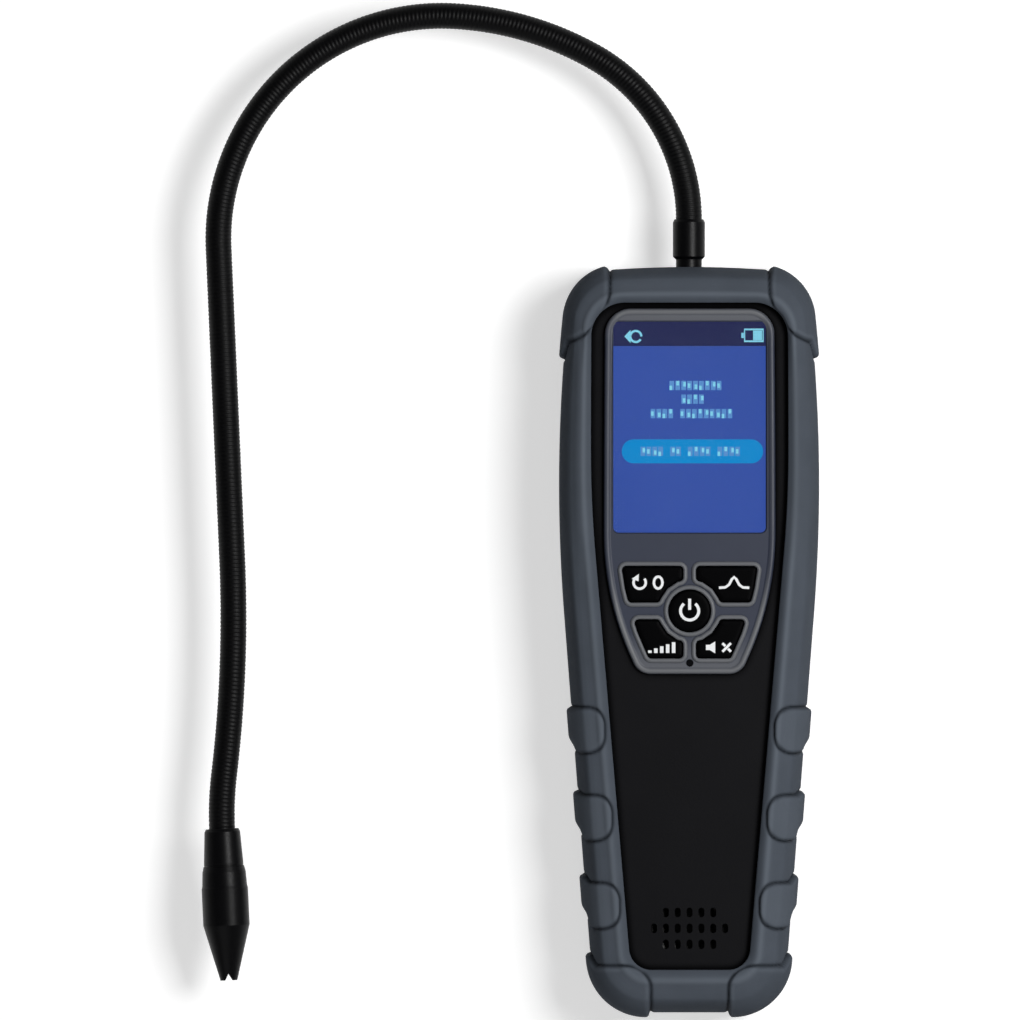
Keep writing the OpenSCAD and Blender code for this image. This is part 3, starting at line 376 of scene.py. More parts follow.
# The pads run out at the opening's lip and on the rounding of the back
back_share = np.minimum(np.arange(len(rings)) / BACK_N, 1.0)[:, None]
run_out = (1 - smooth(ring_u, LIP_FROM, 1.0)) * smooth(back_share, 0.0, 1.0)
over = np.clip((inside - FOOT_AT) / SHOULDER, 0.0, 1.0)
rise = (FRONT_RISE + (PAD_RISE - FRONT_RISE) * wall_part) * np.sqrt(1 - (1 - over) ** 2) * fade
groove = np.exp(-((inside - GROOVE_AT) / GROOVE_W) ** 2) * run_out
skin = skin + normal * (rise * run_out - GROOVE_DEPTH * groove)[:, :, None]
print("pad points", int((inside > 0).sum()), "highest", round(float(skin[:, :, 2].max()), 2))

# %% [markdown]
# ## Boot rubber
# The boot is a soft rubber overmould: matte, slate grey, with a fine grain. It is paler on the band's ridge
# and on the pads' edges, which is a painted highlight, and on the grips' faces, where hands wear it, and its
# grooves are darkened with painted shade. These tones are worked out from the same distances as the shape and
# stored on the mesh as attributes, so they follow the shape from every side, which a picture map would not
# when the shape changes.

# %% Boot rubber
# Boot: thermoplastic rubber moulded over the case, dull and a little mottled, with next to no shine.
boot_rubber = moulded("slate_rubber_overmould", "#464c54", "#50565f", 0.45, 0.03, (0.68, 0.8), 1.5, 9.0, 0.04)


def plain_finish(material):
    """A finish's nodes, shader and plain colour, for wear, painted highlight and painted shade over it."""
    shader = material.node_tree.nodes["Principled BSDF"]
    return material.node_tree, shader, shader.inputs["Base Color"].links[0].from_socket


tree, shader, grain_tone = plain_finish(boot_rubber)
# Painted shade: the grooves round the pads are darkened in the colour, nearly to black.
groove_shade = add(tree, "ShaderNodeAttribute", attribute_name="groove")
# Painted highlight on the band's ridge and the pads' edges, and wear on the grips' faces, both read from the
# ridge attribute.
highlight_and_rub = add(tree, "ShaderNodeAttribute", attribute_name="ridge")
highlighted_and_rubbed = add(tree, "ShaderNodeMix", {"Factor": highlight_and_rub.outputs["Fac"], 6: grain_tone, 7: linear("#636a73")},
             data_type="RGBA")
groove_shaded = add(tree, "ShaderNodeMix", {"Factor": groove_shade.outputs["Fac"], 6: highlighted_and_rubbed.outputs[2],
                                      7: linear("#1c2025")}, data_type="RGBA")
feed(tree, shader, {"Base Color": groove_shaded.outputs[2]})

# How much paler the rubber is on the band's ridge and the pads' edges, as a painted highlight, and on the
# grips' faces, from wear, with the places where that starts and ends, and how dark the painted shade in the
# grooves is
RIDGE_HIGHLIGHT, RIDGE_U, RIDGE_W = 0.6, 0.75, 0.08
PAD_HIGHLIGHT, EDGE_FROM, EDGE_TOP, EDGE_TO = 0.3, 0.1, 0.6, 1.6
GRIP_TONE, GRIP_FROM, GRIP_TO, GRIP_U = 0.3, 0.2, 1.0, 0.1
GROOVE_SHADE = 0.9
band_highlight = RIDGE_HIGHLIGHT * np.exp(-((ring_u - RIDGE_U) / RIDGE_W) ** 2)
pad_edge_highlight = PAD_HIGHLIGHT * smooth(inside, EDGE_FROM, EDGE_TOP) * (1 - smooth(inside, EDGE_TOP, EDGE_TO))
hand_rub = GRIP_TONE * smooth(in_grip, GRIP_FROM, GRIP_TO) * smooth(ring_u, 0.0, GRIP_U)
ridge = np.maximum(band_highlight, np.maximum(pad_edge_highlight, hand_rub)) * (ring_u > 0)
tones = {"groove": groove * GROOVE_SHADE, "ridge": ridge * (1 - groove)}
print("tones", {name: round(float(values.max()), 2) for name, values in tones.items()})

# %% [markdown]
# ## Shells
# A moulded part is a thin closed skin, and most of the pieces here are rings of points joined by faces. This
# class gathers them: one function joins rings, one closes a flat face that may have holes, and one makes
# the object and puts it on its body. Modifiers could do some of it, but rings keep every edge where it is set.

# %% Shells
class Shell:
    """Points in millimetres and faces, gathered before they become one object."""

    def __init__(self):
        self.points = []
        self.faces = []
        self.flat = []

    def ring(self, points):
        """Adds points and returns their numbers."""
        first = len(self.points)
        self.points.extend(points)
        return list(range(first, len(self.points)))

    def join(self, rings, closed=True):
        """Adds faces between each ring and the next."""
        for low, high in zip(rings, rings[1:]):
            n = len(low)
            for j in range(n if closed else n - 1):
                k = (j + 1) % n
                self.faces.append((low[j], low[k], high[k], high[j]))

    def fill(self, loops, up=True):
        """Closes a flat outline, the first loop, round the holes of the other loops."""
        order = [i for loop in loops for i in loop]
        outlines = [[Vector((self.points[i][0], self.points[i][1], 0.0)) for i in loop] for loop in loops]
        for a, b, c in tessellate_polygon(outlines):
            pa, pb, pc = (self.points[order[i]] for i in (a, b, c))
            turn = (pb[0] - pa[0]) * (pc[1] - pa[1]) - (pb[1] - pa[1]) * (pc[0] - pa[0])
            face = (order[a], order[b], order[c])
            self.flat.append(len(self.faces))
            self.faces.append(face if (turn > 0) == up else face[::-1])

    def build(self, name, body, material, slot, stands_for=(), sharp=35.0):
        """Makes the object, with edges over an angle in degrees left sharp."""
        mesh = bpy.data.meshes.new(name)
        mesh.from_pydata([(x * MM, y * MM, z * MM) for x, y, z in self.points], [], self.faces)
        mesh.materials.append(material)
        mesh.shade_smooth()
        mesh.set_sharp_from_angle(angle=math.radians(sharp))
        for i in self.flat:
            mesh.polygons[i].use_smooth = False
        made = bpy.data.objects.new(name, mesh)
        bpy.context.collection.objects.link(made)
        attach(made, body)
        if stands_for:
            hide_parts(*stands_for)
        print(name, len(mesh.vertices), "points", len(mesh.polygons), "faces")
        return made


# %% [markdown]
# ## Boot shell
# The boot is hollow. Its lip lies over the stepped edge of the case, its inside follows the case, and the
# back has an opening for the battery door. All of that is a row of rings from the outside over the lip to
# the inside, which closes at the back. Thickening the skin with a modifier would lose the lip and the step.

# %% Boot shell
# Thickness of the back, height of the case's front, thickness of the wall, and the step under the band
BACK_T, CASE_FRONT, WALL = 3.0, 33.6, 2.6
STEP_W, STEP_Z = 3.4, 30.1
# Opening in the back as half width, low end, high end and corner radius
DOORWAY = (21.2, -81.0, -3.4, 3.0)


def rounded_box(half, low, high, r, steps=10):
    """Counterclockwise outline of a box with rounded corners."""
    points = []
    for cx, cy, start in ((half - r, low + r, -90), (half - r, high - r, 0), (r - half, high - r, 90),
                          (r - half, low + r, 180)):
        for i in range(steps + 1):
            a = math.radians(start + 90 * i / steps)
            points.append((cx + r * math.cos(a), cy + r * math.sin(a)))
    return points


boot = Shell()
outside = [boot.ring([tuple(p) for p in ring]) for ring in skin]
cavity = outline(inset(BOOT, WALL), *FINE)
step_edge = outline(inset(BOOT, WALL + STEP_W), *FINE)
within = [boot.ring(at_height(edge, z))
          for edge, z in ((opening_edge, CASE_FRONT), (step_edge, CASE_FRONT), (step_edge, STEP_Z),
                          (cavity, STEP_Z), (cavity, BACK_T))]
boot.join(outside + within)
hole = rounded_box(*DOORWAY)
hole_in = boot.ring(at_height(hole, BACK_T))
hole_out = boot.ring(at_height(hole, 0.0))
boot.fill([within[-1], hole_in], up=True)
boot.join([hole_in, hole_out])
boot.fill([outside[0], hole_out], up=False)
boot_piece = boot.build("boot_skin", "detector", boot_rubber, "boot_rubber", ("boot",), sharp=60)
extra = len(boot.points) - skin.shape[0] * skin.shape[1]
for name, values in tones.items():
    layer = boot_piece.data.attributes.new(name, "FLOAT", "POINT")
    layer.data.foreach_set("value", np.concatenate([values.ravel(), np.zeros(extra)]).astype(np.float32))

# %% [markdown]
# ## Ribbed neck
# A gooseneck is a steel wire wound into a tube, with a black vinyl skin that shows the windings as fine
# ribs. The path is the row of bends that the solid follows, and the radius ripples along a helix, so the
# light breaks into dashes as it does on the real one. The ribs are about 1.1 mm apart.

# %% Ribbed neck
# Bends as radius and turn in degrees, or zero and a straight length
BENDS = ((0, 4.0), (50.6, 60.8), (87, 26.4), (60.5, 95.3), (0, 84.3), (360, -9.3), (90, 9.4), (0, 4.0))
# Place of its foot and heading in degrees
NECK_FOOT = (0.0, 110.2, 90.0)
# The neck is a hair thinner than its solid, so that the rounder bends stay inside the solids' box
NECK_Z, NECK_R = 18.3, 3.57
# Pitch and depth of the ribs, rings on each rib, and points on each ring
RIB_PITCH, RIB_DEPTH, RIB_STEPS, NECK_SIDES = 1.1, 0.1, 6, 26


def bend_on(state, bend, t):
    """Place and heading after a share t of one bend."""
    sx, sy, heading = state
    radius, amount = bend
    if radius == 0:
        a = math.radians(heading)
        return (sx + amount * t * math.cos(a), sy + amount * t * math.sin(a), heading)
    r = math.copysign(radius, amount)
    a, b = math.radians(heading), math.radians(heading + amount * t)
    return (sx + r * (math.sin(b) - math.sin(a)), sy - r * (math.cos(b) - math.cos(a)), heading + amount * t)


neck = Shell()
neck_rings = []
state, walked = NECK_FOOT, 0.0
for bend in BENDS:
    length = bend[1] if bend[0] == 0 else bend[0] * abs(math.radians(bend[1]))
    steps = max(2, round(length / RIB_PITCH * RIB_STEPS))
    for i in range(steps):
        px, py, heading = bend_on(state, bend, i / steps)
        turn = math.radians(heading)
        ring = []
        for k in range(NECK_SIDES):
            a = 2 * math.pi * k / NECK_SIDES
            wave = math.cos(2 * math.pi * (walked + length * i / steps) / RIB_PITCH + a)
            r = NECK_R - RIB_DEPTH * (1 - wave) / 2
            ring.append((px - r * math.cos(a) * math.sin(turn), py + r * math.cos(a) * math.cos(turn),
                         NECK_Z + r * math.sin(a)))
        neck_rings.append(neck.ring(ring))
    state, walked = bend_on(state, bend, 1.0), walked + length
neck.join(neck_rings)
neck.faces += [tuple(reversed(neck_rings[0])), tuple(neck_rings[-1])]
# Neck: soft black vinyl over the wire, satin, with a broad dim streak that the ribs break up.
neck_vinyl = moulded("black_vinyl_sleeve", "#040405", "#070708", 0.8, 0.01, (0.4, 0.5), 1.52, level=0.1)
neck.build("neck_skin", "detector", neck_vinyl, "neck_vinyl", ("gooseneck",), sharp=80)
print("neck length", round(walked), "mm, tip at", [round(v, 1) for v in state])

# %% [markdown]
# ## Key outlines
# The four shaped keys fit round the power key, so their outlines are odd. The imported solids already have
# them, so the top face of each key is read from its mesh and walked round, and nothing is typed twice.

# %% Key outlines
# Middle and radius of the round key
POWER_Y, POWER_R = 8.15, 5.6
KEYS = ("reset", "peak", "sens", "mute", "power")
# Heights that differ by less count as level, and the spacing of the points on an outline, in mm
LEVEL, KEY_STEP = 0.001, 0.3


def top_outline(name):
    """Counterclockwise outline of a node's top face, in millimetres."""
    mesh = nodes[name].data
    spots = [tuple(round(v / MM, 4) for v in nodes[name].matrix_world @ p.co) for p in mesh.vertices]
    top = max(z for _, _, z in spots)
    edges = {}
    for face in mesh.polygons:
        ring = [spots[i] for i in face.vertices]
        if min(z for _, _, z in ring) > top - LEVEL:
            for a, b in zip(ring, ring[1:] + ring[:1]):
                edges[(a[:2], b[:2])] = True
    after = {a: b for a, b in edges if (b, a) not in edges}
    start = min(after)
    loop, spot = [start], after[start]
    while spot != start:
        loop.append(spot)
        spot = after[spot]
    return loop


def lengthwise(loop, spacing):
    """A closed outline with its points set out evenly."""
    sides = [math.dist(a, b) for a, b in zip(loop, loop[1:] + loop[:1])]
    total = sum(sides)
    count = round(total / spacing)
    points, side, walked = [], 0, 0.0
    for i in range(count):
        target = total * i / count
        while walked + sides[side] < target:
            walked += sides[side]
            side += 1
        t = (target - walked) / sides[side]
        a, b = loop[side], loop[(side + 1) % len(loop)]
        points.append((a[0] + (b[0] - a[0]) * t, a[1] + (b[1] - a[1]) * t))
    return points


def round_outline(x, y, r, count):
    """A circle as a counterclockwise outline."""
    return [(x + r * math.cos(2 * math.pi * i / count), y + r * math.sin(2 * math.pi * i / count))
            for i in range(count)]


key_edge = {name: lengthwise(top_outline("key_" + name), KEY_STEP) for name in KEYS[:4]}
key_edge["power"] = round_outline(0.0, POWER_Y, POWER_R, count=96)
print("key outlines", {name: len(loop) for name, loop in key_edge.items()})

# %% [markdown]
# ## Faceplate paint
# The faceplate is dark grey ABS, painted satin, a little blue. Its key ridges and rim are paler, partly from
# wear and partly as a painted highlight, and its two ends are paler as a painted highlight alone. The long
# sides get less of that paler tone. It follows the place on the plate, so it needs no picture map.

# %% Faceplate paint
# Faceplate: ABS with satin paint, even and softly shining.
face_paint = moulded("grey_satin_paint", "#2a2f3f", "#313747", 0.3, 0.01, (0.4, 0.5), 1.5, level=0.3)
tree, shader, plain_paint = plain_finish(face_paint)
place = add(tree, "ShaderNodeTexCoord").outputs["Object"]
spot = add(tree, "ShaderNodeSeparateXYZ", {0: place})
# Heights of the ridges' feet and tops, distances from the middle line at which the long sides start, and
# distances from the plate's middle at which its ends start, with the share of the paler tone there: painted
# highlight and wear on the ridges, painted highlight alone on the ends
PALE_FROM, PALE_TO = 34.72, 35.0
SIDE_FROM, SIDE_TO, SIDE_SHARE = 19.5, 21.5, 0.2
PLATE_MIDDLE, END_FROM, END_TO, END_HIGHLIGHT = 40.4, 38.0, 47.5, 0.65
raised = add(tree, "ShaderNodeMapRange", {"Value": spot.outputs["Z"], "From Min": PALE_FROM * MM,
                                          "From Max": PALE_TO * MM})
aside = add(tree, "ShaderNodeMath", {0: spot.outputs["X"]}, operation="ABSOLUTE")
long_side_fade = add(tree, "ShaderNodeMapRange", {"Value": aside.outputs[0], "From Min": SIDE_FROM * MM,
                                        "From Max": SIDE_TO * MM, "To Min": 1.0, "To Max": SIDE_SHARE})
ridges = add(tree, "ShaderNodeMath", {0: raised.outputs[0], 1: long_side_fade.outputs[0]}, operation="MULTIPLY")
from_middle = add(tree, "ShaderNodeMath", {0: spot.outputs["Y"], 1: PLATE_MIDDLE * MM}, operation="SUBTRACT")
endways = add(tree, "ShaderNodeMath", {0: from_middle.outputs[0]}, operation="ABSOLUTE")
ends = add(tree, "ShaderNodeMapRange", {"Value": endways.outputs[0], "From Min": END_FROM * MM,
                                        "From Max": END_TO * MM, "To Max": END_HIGHLIGHT})
# The paler ridges are partly wear and partly painted highlight, and the paler ends are painted highlight.
highlight_and_rub = add(tree, "ShaderNodeMath", {0: ridges.outputs[0], 1: ends.outputs[0]}, operation="MAXIMUM")
lit_and_worn = add(tree, "ShaderNodeMix", {"Factor": highlight_and_rub.outputs[0], 6: plain_paint, 7: linear("#65676b")},
           data_type="RGBA")
feed(tree, shader, {"Base Color": lit_and_worn.outputs[2]})
print("paint", face_paint.name)

# %% [markdown]
# ## Faceplate
# The faceplate is one moulded part, painted satin grey: a flat plate with a rounded rim, rounded ridges
# round the keys and a chamfered opening for the display. Beads that are lofted along the outlines give
# the rounded edges that catch the light, where a boolean would leave sharp steps.

# %% Faceplate
# Heights of the plate's back and face, points on half an end, a corner and a side, and their even spacing
PLATE_BACK, PLATE_FACE = 32.5, 34.7
PLATE_N, PLATE_STEP = (30, 24, 90), 0.4
# Display opening as half width, low end, high end and corner radius, and its chamfer
SCREEN, SCREEN_EDGE = (20.6, 29.3, 86.3, 1.5), 0.35
# Border of the window's seat round it, height of that seat, and its corner radius
WINDOW_BORDER, WINDOW_TOP, WINDOW_R = 1.1, 33.8, 1.7
# Middle and radius of the status light's hole, and its chamfer
LIGHT_Y, LIGHT_R, LIGHT_EDGE = -5.9, 0.95, 0.15
# Beads as distance from the outline and height
RIM = ((1.9, 34.7), (1.75, 34.74), (1.6, 34.82), (1.4, 34.95), (1.2, 35.05), (1.0, 35.1), (0.75, 35.1),
       (0.5, 35.03), (0.28, 34.88), (0.1, 34.62), (0.0, 34.3), (0.0, 32.5))
RIDGE = ((1.5, 34.7), (1.4, 34.8), (1.25, 35.08), (1.05, 35.3), (0.8, 35.4), (0.55, 35.38), (0.32, 35.22),
         (0.2, 34.95), (0.2, 32.5))


def offset(loop, out):
    """A counterclockwise outline moved outward along its normals."""
    moved = []
    for i, (x, y) in enumerate(loop):
        before, after = loop[i - 1], loop[(i + 1) % len(loop)]
        dx, dy = after[0] - before[0], after[1] - before[1]
        length = math.hypot(dx, dy)
        moved.append((x + dy / length * out, y - dx / length * out))
    return moved


plate = Shell()
face_edge = lengthwise(outline(FACEPLATE, *PLATE_N), PLATE_STEP)
rim = [plate.ring(at_height(offset(face_edge, -d), z)) for d, z in RIM]
plate.join(rim[::-1])
front_holes, back_holes = [], []
for name in KEYS:
    bead = [plate.ring(at_height(offset(key_edge[name], d), z)) for d, z in RIDGE]
    plate.join(bead)
    front_holes.append(bead[0])
    back_holes.append(bead[-1])
light_edge = round_outline(0.0, LIGHT_Y, LIGHT_R, count=32)
light_well = [plate.ring(at_height(offset(light_edge, d), z))
              for d, z in ((LIGHT_EDGE, PLATE_FACE), (0.0, PLATE_FACE - LIGHT_EDGE), (0.0, PLATE_BACK))]
plate.join(light_well)
screen_edge = rounded_box(*SCREEN)
window_edge = rounded_box(SCREEN[0] + WINDOW_BORDER, SCREEN[1] - WINDOW_BORDER,
                          SCREEN[2] + WINDOW_BORDER, WINDOW_R)
screen_steps = ((offset(screen_edge, SCREEN_EDGE), PLATE_FACE), (screen_edge, PLATE_FACE - SCREEN_EDGE),
                (screen_edge, WINDOW_TOP), (window_edge, WINDOW_TOP), (window_edge, PLATE_BACK))
screen_well = [plate.ring(at_height(edge, z)) for edge, z in screen_steps]
plate.join(screen_well)
plate.fill([rim[0], screen_well[0], light_well[0]] + front_holes, up=True)
plate.fill([rim[-1], screen_well[-1], light_well[-1]] + back_holes, up=False)
plate.build("faceplate_skin", "detector", face_paint, "faceplate", ("bezel",), sharp=50)

# %% [markdown]
# ## Keys
# Silicone keys come out of the mould with a soft edge and a slightly crowned top. Each is a stack of
# outlines: the flange behind the faceplate, the wall, the rounded edge and the top, with the stem that
# presses the switch below.

# %% Keys
# Keys: black silicone rubber, satin and nearly without grain.
key_silicone = moulded("black_silicone", "#020203", "#040405", 0.4, 0.006, (0.4, 0.5), 1.41, level=0.03)
# Stations as distance from the outline and height, from the flange up
KEY_RINGS = ((0.8, 31.4), (0.8, 32.4), (0.0, 32.4), (0.0, 34.85), (-0.06, 35.04), (-0.22, 35.18),
             (-0.5, 35.26), (-0.9, 35.29), (-1.3, 35.3))
# Radius of the stems, height of the flange's back, and the middles of the stems
STEM_R, FLANGE_Z = 1.8, 31.4
STEMS = {"reset": (-11.85, 15.35), "peak": (11.85, 15.35), "sens": (-10.25, 0.6), "mute": (10.25, 0.6),
         "power": (0.0, POWER_Y)}
for name in KEYS:
    key = Shell()
    stack = [key.ring(at_height(offset(key_edge[name], d), z)) for d, z in KEY_RINGS]
    key.join(stack)
    key.fill([stack[-1]], up=True)
    low = min(corner[2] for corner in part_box("key_" + name)) / MM
    stem = round_outline(*STEMS[name], STEM_R, count=24)
    stem_top = key.ring(at_height(stem, FLANGE_Z))
    stem_low = key.ring(at_height(stem, low))
    key.fill([stack[0], stem_top], up=False)
    key.join([stem_low, stem_top])
    key.fill([stem_low], up=False)
    key.build("key_cap_" + name, name + "_key", key_silicone, "key_rubber", ("key_" + name,), sharp=50)
print("stems at", STEMS)

# %% [markdown]
# ## Printed pictograms
# Each key says what it does in white pad-printed ink, with a plain pictogram: a turning arrow and a nought,
# a peak, rising bars, a speaker with a cross, and an open ring with a bar. The ink is a layer of three
# hundredths of a millimetre that rides on its key, because a print in the key's material would have no
# shape of its own in the exported model. First come the lines and areas that the pictograms are drawn with.

# %% Lines and areas of ink
def stroke(shell, points, wide, z0, z1, closed=False):
    """A flat line of ink along points."""
    n = len(points)
    left, right = [], []
    for i, (px, py) in enumerate(points):
        before = points[i - 1] if closed or i else points[i]
        after = points[(i + 1) % n] if closed or i < n - 1 else points[i]
        dx, dy = after[0] - before[0], after[1] - before[1]
        length = math.hypot(dx, dy)
        nx, ny = -dy / length * wide / 2, dx / length * wide / 2
        left.append((px + nx, py + ny))
        right.append((px - nx, py - ny))
    rows = [shell.ring(at_height(row, z)) for row, z in ((right, z0), (right, z1), (left, z1), (left, z0))]
    shell.join(rows + [rows[0]], closed)
    if not closed:
        shell.faces.append(tuple(row[0] for row in rows))
        shell.faces.append(tuple(row[-1] for row in reversed(rows)))


def patch(shell, loop, z0, z1):
    """A flat area of ink inside a counterclockwise outline."""
    low, high = shell.ring(at_height(loop, z0)), shell.ring(at_height(loop, z1))
    shell.join([low, high])
    shell.fill([low], up=False)
    shell.fill([high], up=True)


def arc(cx, cy, r, start, stop, count=24):
    """Points on an arc between two turns in degrees."""
    turns = [math.radians(start + (stop - start) * i / count) for i in range(count + 1)]
    return [(cx + r * math.cos(a), cy + r * math.sin(a)) for a in turns]


def bar(x0, x1, y0, y1):
    """A rectangle as a counterclockwise outline."""
    return [(x0, y0), (x1, y0), (x1, y1), (x0, y1)]


# %% Printed pictograms
# Pad-printing ink: white, flat and slightly uneven, so that it covers but doesn't shine.
key_ink = moulded("white_pad_ink", "#e6e8ea", "#f4f5f6", 0.25, 0.003, (0.5, 0.65), 1.5)
# Heights of the ink, with a little more where two strokes cross, and the width of its lines
INK_LOW, INK_TOP, INK_MORE = 35.28, 35.33, 0.02
LINE, POWER_LINE = 0.7, 0.8
inks = {name: Shell() for name in KEYS}


def draw(name, *points, wide=LINE, closed=False):
    stroke(inks[name], list(points), wide, INK_LOW, INK_TOP, closed)


# Turning arrow: its middle, radius and two ends in degrees, and its head round the first end
TURN_X, TURN_Y, TURN_R, TURN_FROM, TURN_TO = -13.5, 15.8, 1.65, 125, 400
ARROW_HEAD = ((-1.2, -0.35), (0.65, -1.0), (0.75, 1.0))
turning = arc(TURN_X, TURN_Y, TURN_R, TURN_FROM, TURN_TO)
draw("reset", *turning)
patch(inks["reset"], [(turning[0][0] + dx, turning[0][1] + dy) for dx, dy in ARROW_HEAD],
      INK_LOW, INK_TOP + INK_MORE)
# Nought: its middle, half width, half height and points
NOUGHT_X, NOUGHT_W, NOUGHT_H, NOUGHT_N = -8.5, 1.15, 1.6, 28
nought = [(NOUGHT_X + NOUGHT_W * math.cos(a), TURN_Y + NOUGHT_H * math.sin(a))
          for a in (2 * math.pi * i / NOUGHT_N for i in range(NOUGHT_N))]
draw("reset", *nought, closed=True)
# Peak
draw("peak", (7.9, 14.4), (9.6, 14.5), (10.6, 15.2), (11.4, 16.7), (12.0, 17.3), (12.6, 16.7), (13.4, 15.2),
     (14.4, 14.5), (16.1, 14.4))
# Rising bars: the first one's left edge, foot and top, their width, their pitch and the rise of each
BAR_X, BAR_FOOT, BAR_TOP, BAR_W, BAR_PITCH, BAR_RISE = -11.2, -3.2, -2.5, 0.95, 1.6, 0.55
for i in range(5):
    left = BAR_X + BAR_PITCH * i
    patch(inks["sens"], bar(left, left + BAR_W, BAR_FOOT, BAR_TOP + BAR_RISE * i), INK_LOW, INK_TOP)
# Speaker and cross
patch(inks["mute"], [(4.4, -2.4), (5.4, -2.4), (6.9, -3.3), (6.9, -0.1), (5.4, -1.0), (4.4, -1.0)],
      INK_LOW, INK_TOP)
CROSS_X, CROSS_Y, CROSS_R = 10.0, -1.7, 1.15
draw("mute", (CROSS_X - CROSS_R, CROSS_Y - CROSS_R), (CROSS_X + CROSS_R, CROSS_Y + CROSS_R))
for end in (-1, 1):
    draw("mute", (CROSS_X + end * CROSS_R, CROSS_Y - end * CROSS_R),
         (CROSS_X + end * LINE / 2, CROSS_Y - end * LINE / 2))
# Open ring, as radius and two ends in degrees, and the foot and top of the bar over the key's middle
OPEN_R, OPEN_FROM, OPEN_TO, STROKE_FOOT, STROKE_TOP = 2.45, 128, 412, 0.3, 3.3
draw("power", *arc(0.0, POWER_Y, OPEN_R, OPEN_FROM, OPEN_TO, count=48), wide=POWER_LINE)
draw("power", (0.0, POWER_Y + STROKE_FOOT), (0.0, POWER_Y + STROKE_TOP), wide=POWER_LINE)
for name, ink in inks.items():
    ink.build("ink_" + name, name + "_key", key_ink, "key_rubber")

# %% [markdown]
# ## Lit panel
# The display is a backlit colour panel. It sends out its own light, so its finishes mix emission at
# strength one with a dull face. A fine grid of picture points darkens them a little, and the backlight is
# slightly uneven. A picture file could show all that, but nodes keep every colour in one place.

# %% Lit panel
# A real picture point is 0.18 mm, too fine to show, so the grid is drawn at 0.8 mm
PIXEL = 0.8
# Scale at which a wave texture has one wave in a unit of length
ONE_WAVE = 2 * math.pi / 20
# Darkest and brightest share in that grid, and over the backlight, whose patches have a size in mm
GRID_DIM, GRID_FULL = 0.86, 1.0
BACK_DIM, BACK_FULL, BACK_PATCH = 0.9, 1.1, 40.0


def lit(name, code):
    """A lit area of the panel, with the fine grid of its picture points."""
    material, tree, shader, place = new_finish(name)
    wave = {"Vector": place, "Scale": per_mm(PIXEL) * ONE_WAVE, "Detail": 0.0}
    rows = add(tree, "ShaderNodeTexWave", wave, bands_direction="Y")
    columns = add(tree, "ShaderNodeTexWave", wave, bands_direction="X")
    grid = add(tree, "ShaderNodeMath", {0: rows.outputs["Fac"], 1: columns.outputs["Fac"]},
               operation="MAXIMUM")
    cloud = add(tree, "ShaderNodeTexNoise", {"Vector": place, "Scale": per_mm(BACK_PATCH), "Detail": 1.0})
    even = add(tree, "ShaderNodeMapRange", {"Value": cloud.outputs["Fac"], "To Min": BACK_DIM,
                                            "To Max": BACK_FULL})
    dim = add(tree, "ShaderNodeMapRange", {"Value": grid.outputs[0], "To Min": GRID_DIM, "To Max": GRID_FULL})
    level = add(tree, "ShaderNodeMath", {0: even.outputs[0], 1: dim.outputs[0]}, operation="MULTIPLY")
    tint = add(tree, "ShaderNodeMix", {"Factor": level.outputs[0], 6: linear("#000000"), 7: linear(code)},
               data_type="RGBA")
    feed(tree, shader, {"Emission Color": tint.outputs[2], "Emission Strength": 1.0,
                        "Base Color": linear("#101216"), "Roughness": 0.4, "Specular IOR Level": 0.1})
    return material


# Panel: thin-film colour display, blue page; the bar, the banner and the lines are its other colours.
page_blue = lit("display_page_blue", "#3854a8")
bar_navy = lit("display_bar_navy", "#262a54")
sign_cyan = lit("display_sign_cyan", "#8bdcf0")
haze_blue = lit("display_haze_blue", "#5f96d2")
banner_blue = lit("display_banner_blue", "#068fd4")
print("panel colours", page_blue.name, bar_navy.name, sign_cyan.name, haze_blue.name, banner_blue.name)

# %% [markdown]
# ## Lit picture
# The display shows a blue page with a dark bar across the top, two small signs, three lines and a rounded
# banner. The lines are rows of small blocks with a bright dab in each. Each colour is one piece of flat
# areas in layers over the panel, so that the picture has a shape in the exported model. A picture file on
# the panel would have none.

# %% Lit picture
# Face of the panel, and the thickness of one layer of the picture
PANEL_Z, LAYER = 31.0, 0.02
page = {name: Shell() for name in ("bar", "banner", "signs", "haze", "dabs")}


def show(name, loop, layer=1):
    """A flat area of the picture in one of its layers."""
    patch(page[name], loop, PANEL_Z - LAYER, PANEL_Z + LAYER * layer)


def capsule(x0, x1, y0, y1):
    """A bar with round ends as a counterclockwise outline."""
    r = (y1 - y0) / 2
    return arc(x1 - r, y0 + r, r, -90, 90) + arc(x0 + r, y0 + r, r, 90, 270)


# Areas as left edge, right edge, low edge and high edge
show("bar", bar(-20.9, 20.9, 79.7, 86.6))
show("banner", capsule(-18.3, 19.9, 48.0, 54.5))
# Arrow and ring on the left, battery sign on the right, with the widths of their lines
SIGN_LOW, SIGN_TOP = PANEL_Z - LAYER, PANEL_Z + 2 * LAYER
RING_LINE, BATTERY_LINE = 0.6, 0.55
show("signs", [(-17.6, 82.3), (-15.9, 80.5), (-15.9, 84.1)], 2)
stroke(page["signs"], arc(-14.5, 82.3, 1.5, 0, 330), RING_LINE, SIGN_LOW, SIGN_TOP)
stroke(page["signs"], bar(14.9, 19.9, 81.0, 84.2), BATTERY_LINE, SIGN_LOW, SIGN_TOP, True)
show("signs", bar(17.2, 19.6, 81.3, 83.9), 2)
show("signs", bar(14.0, 14.7, 81.9, 83.3), 2)
# Lines of blocks: left edge, right edge, low edge, and which places in the row stay empty
LINES = ((-5.4, 9.0, 67.8, ()), (-2.2, 4.9, 64.1, ()), (-10.5, 13.2, 60.2, (4,)),
         (-13.2, 14.1, 50.0, (4, 7, 12)))
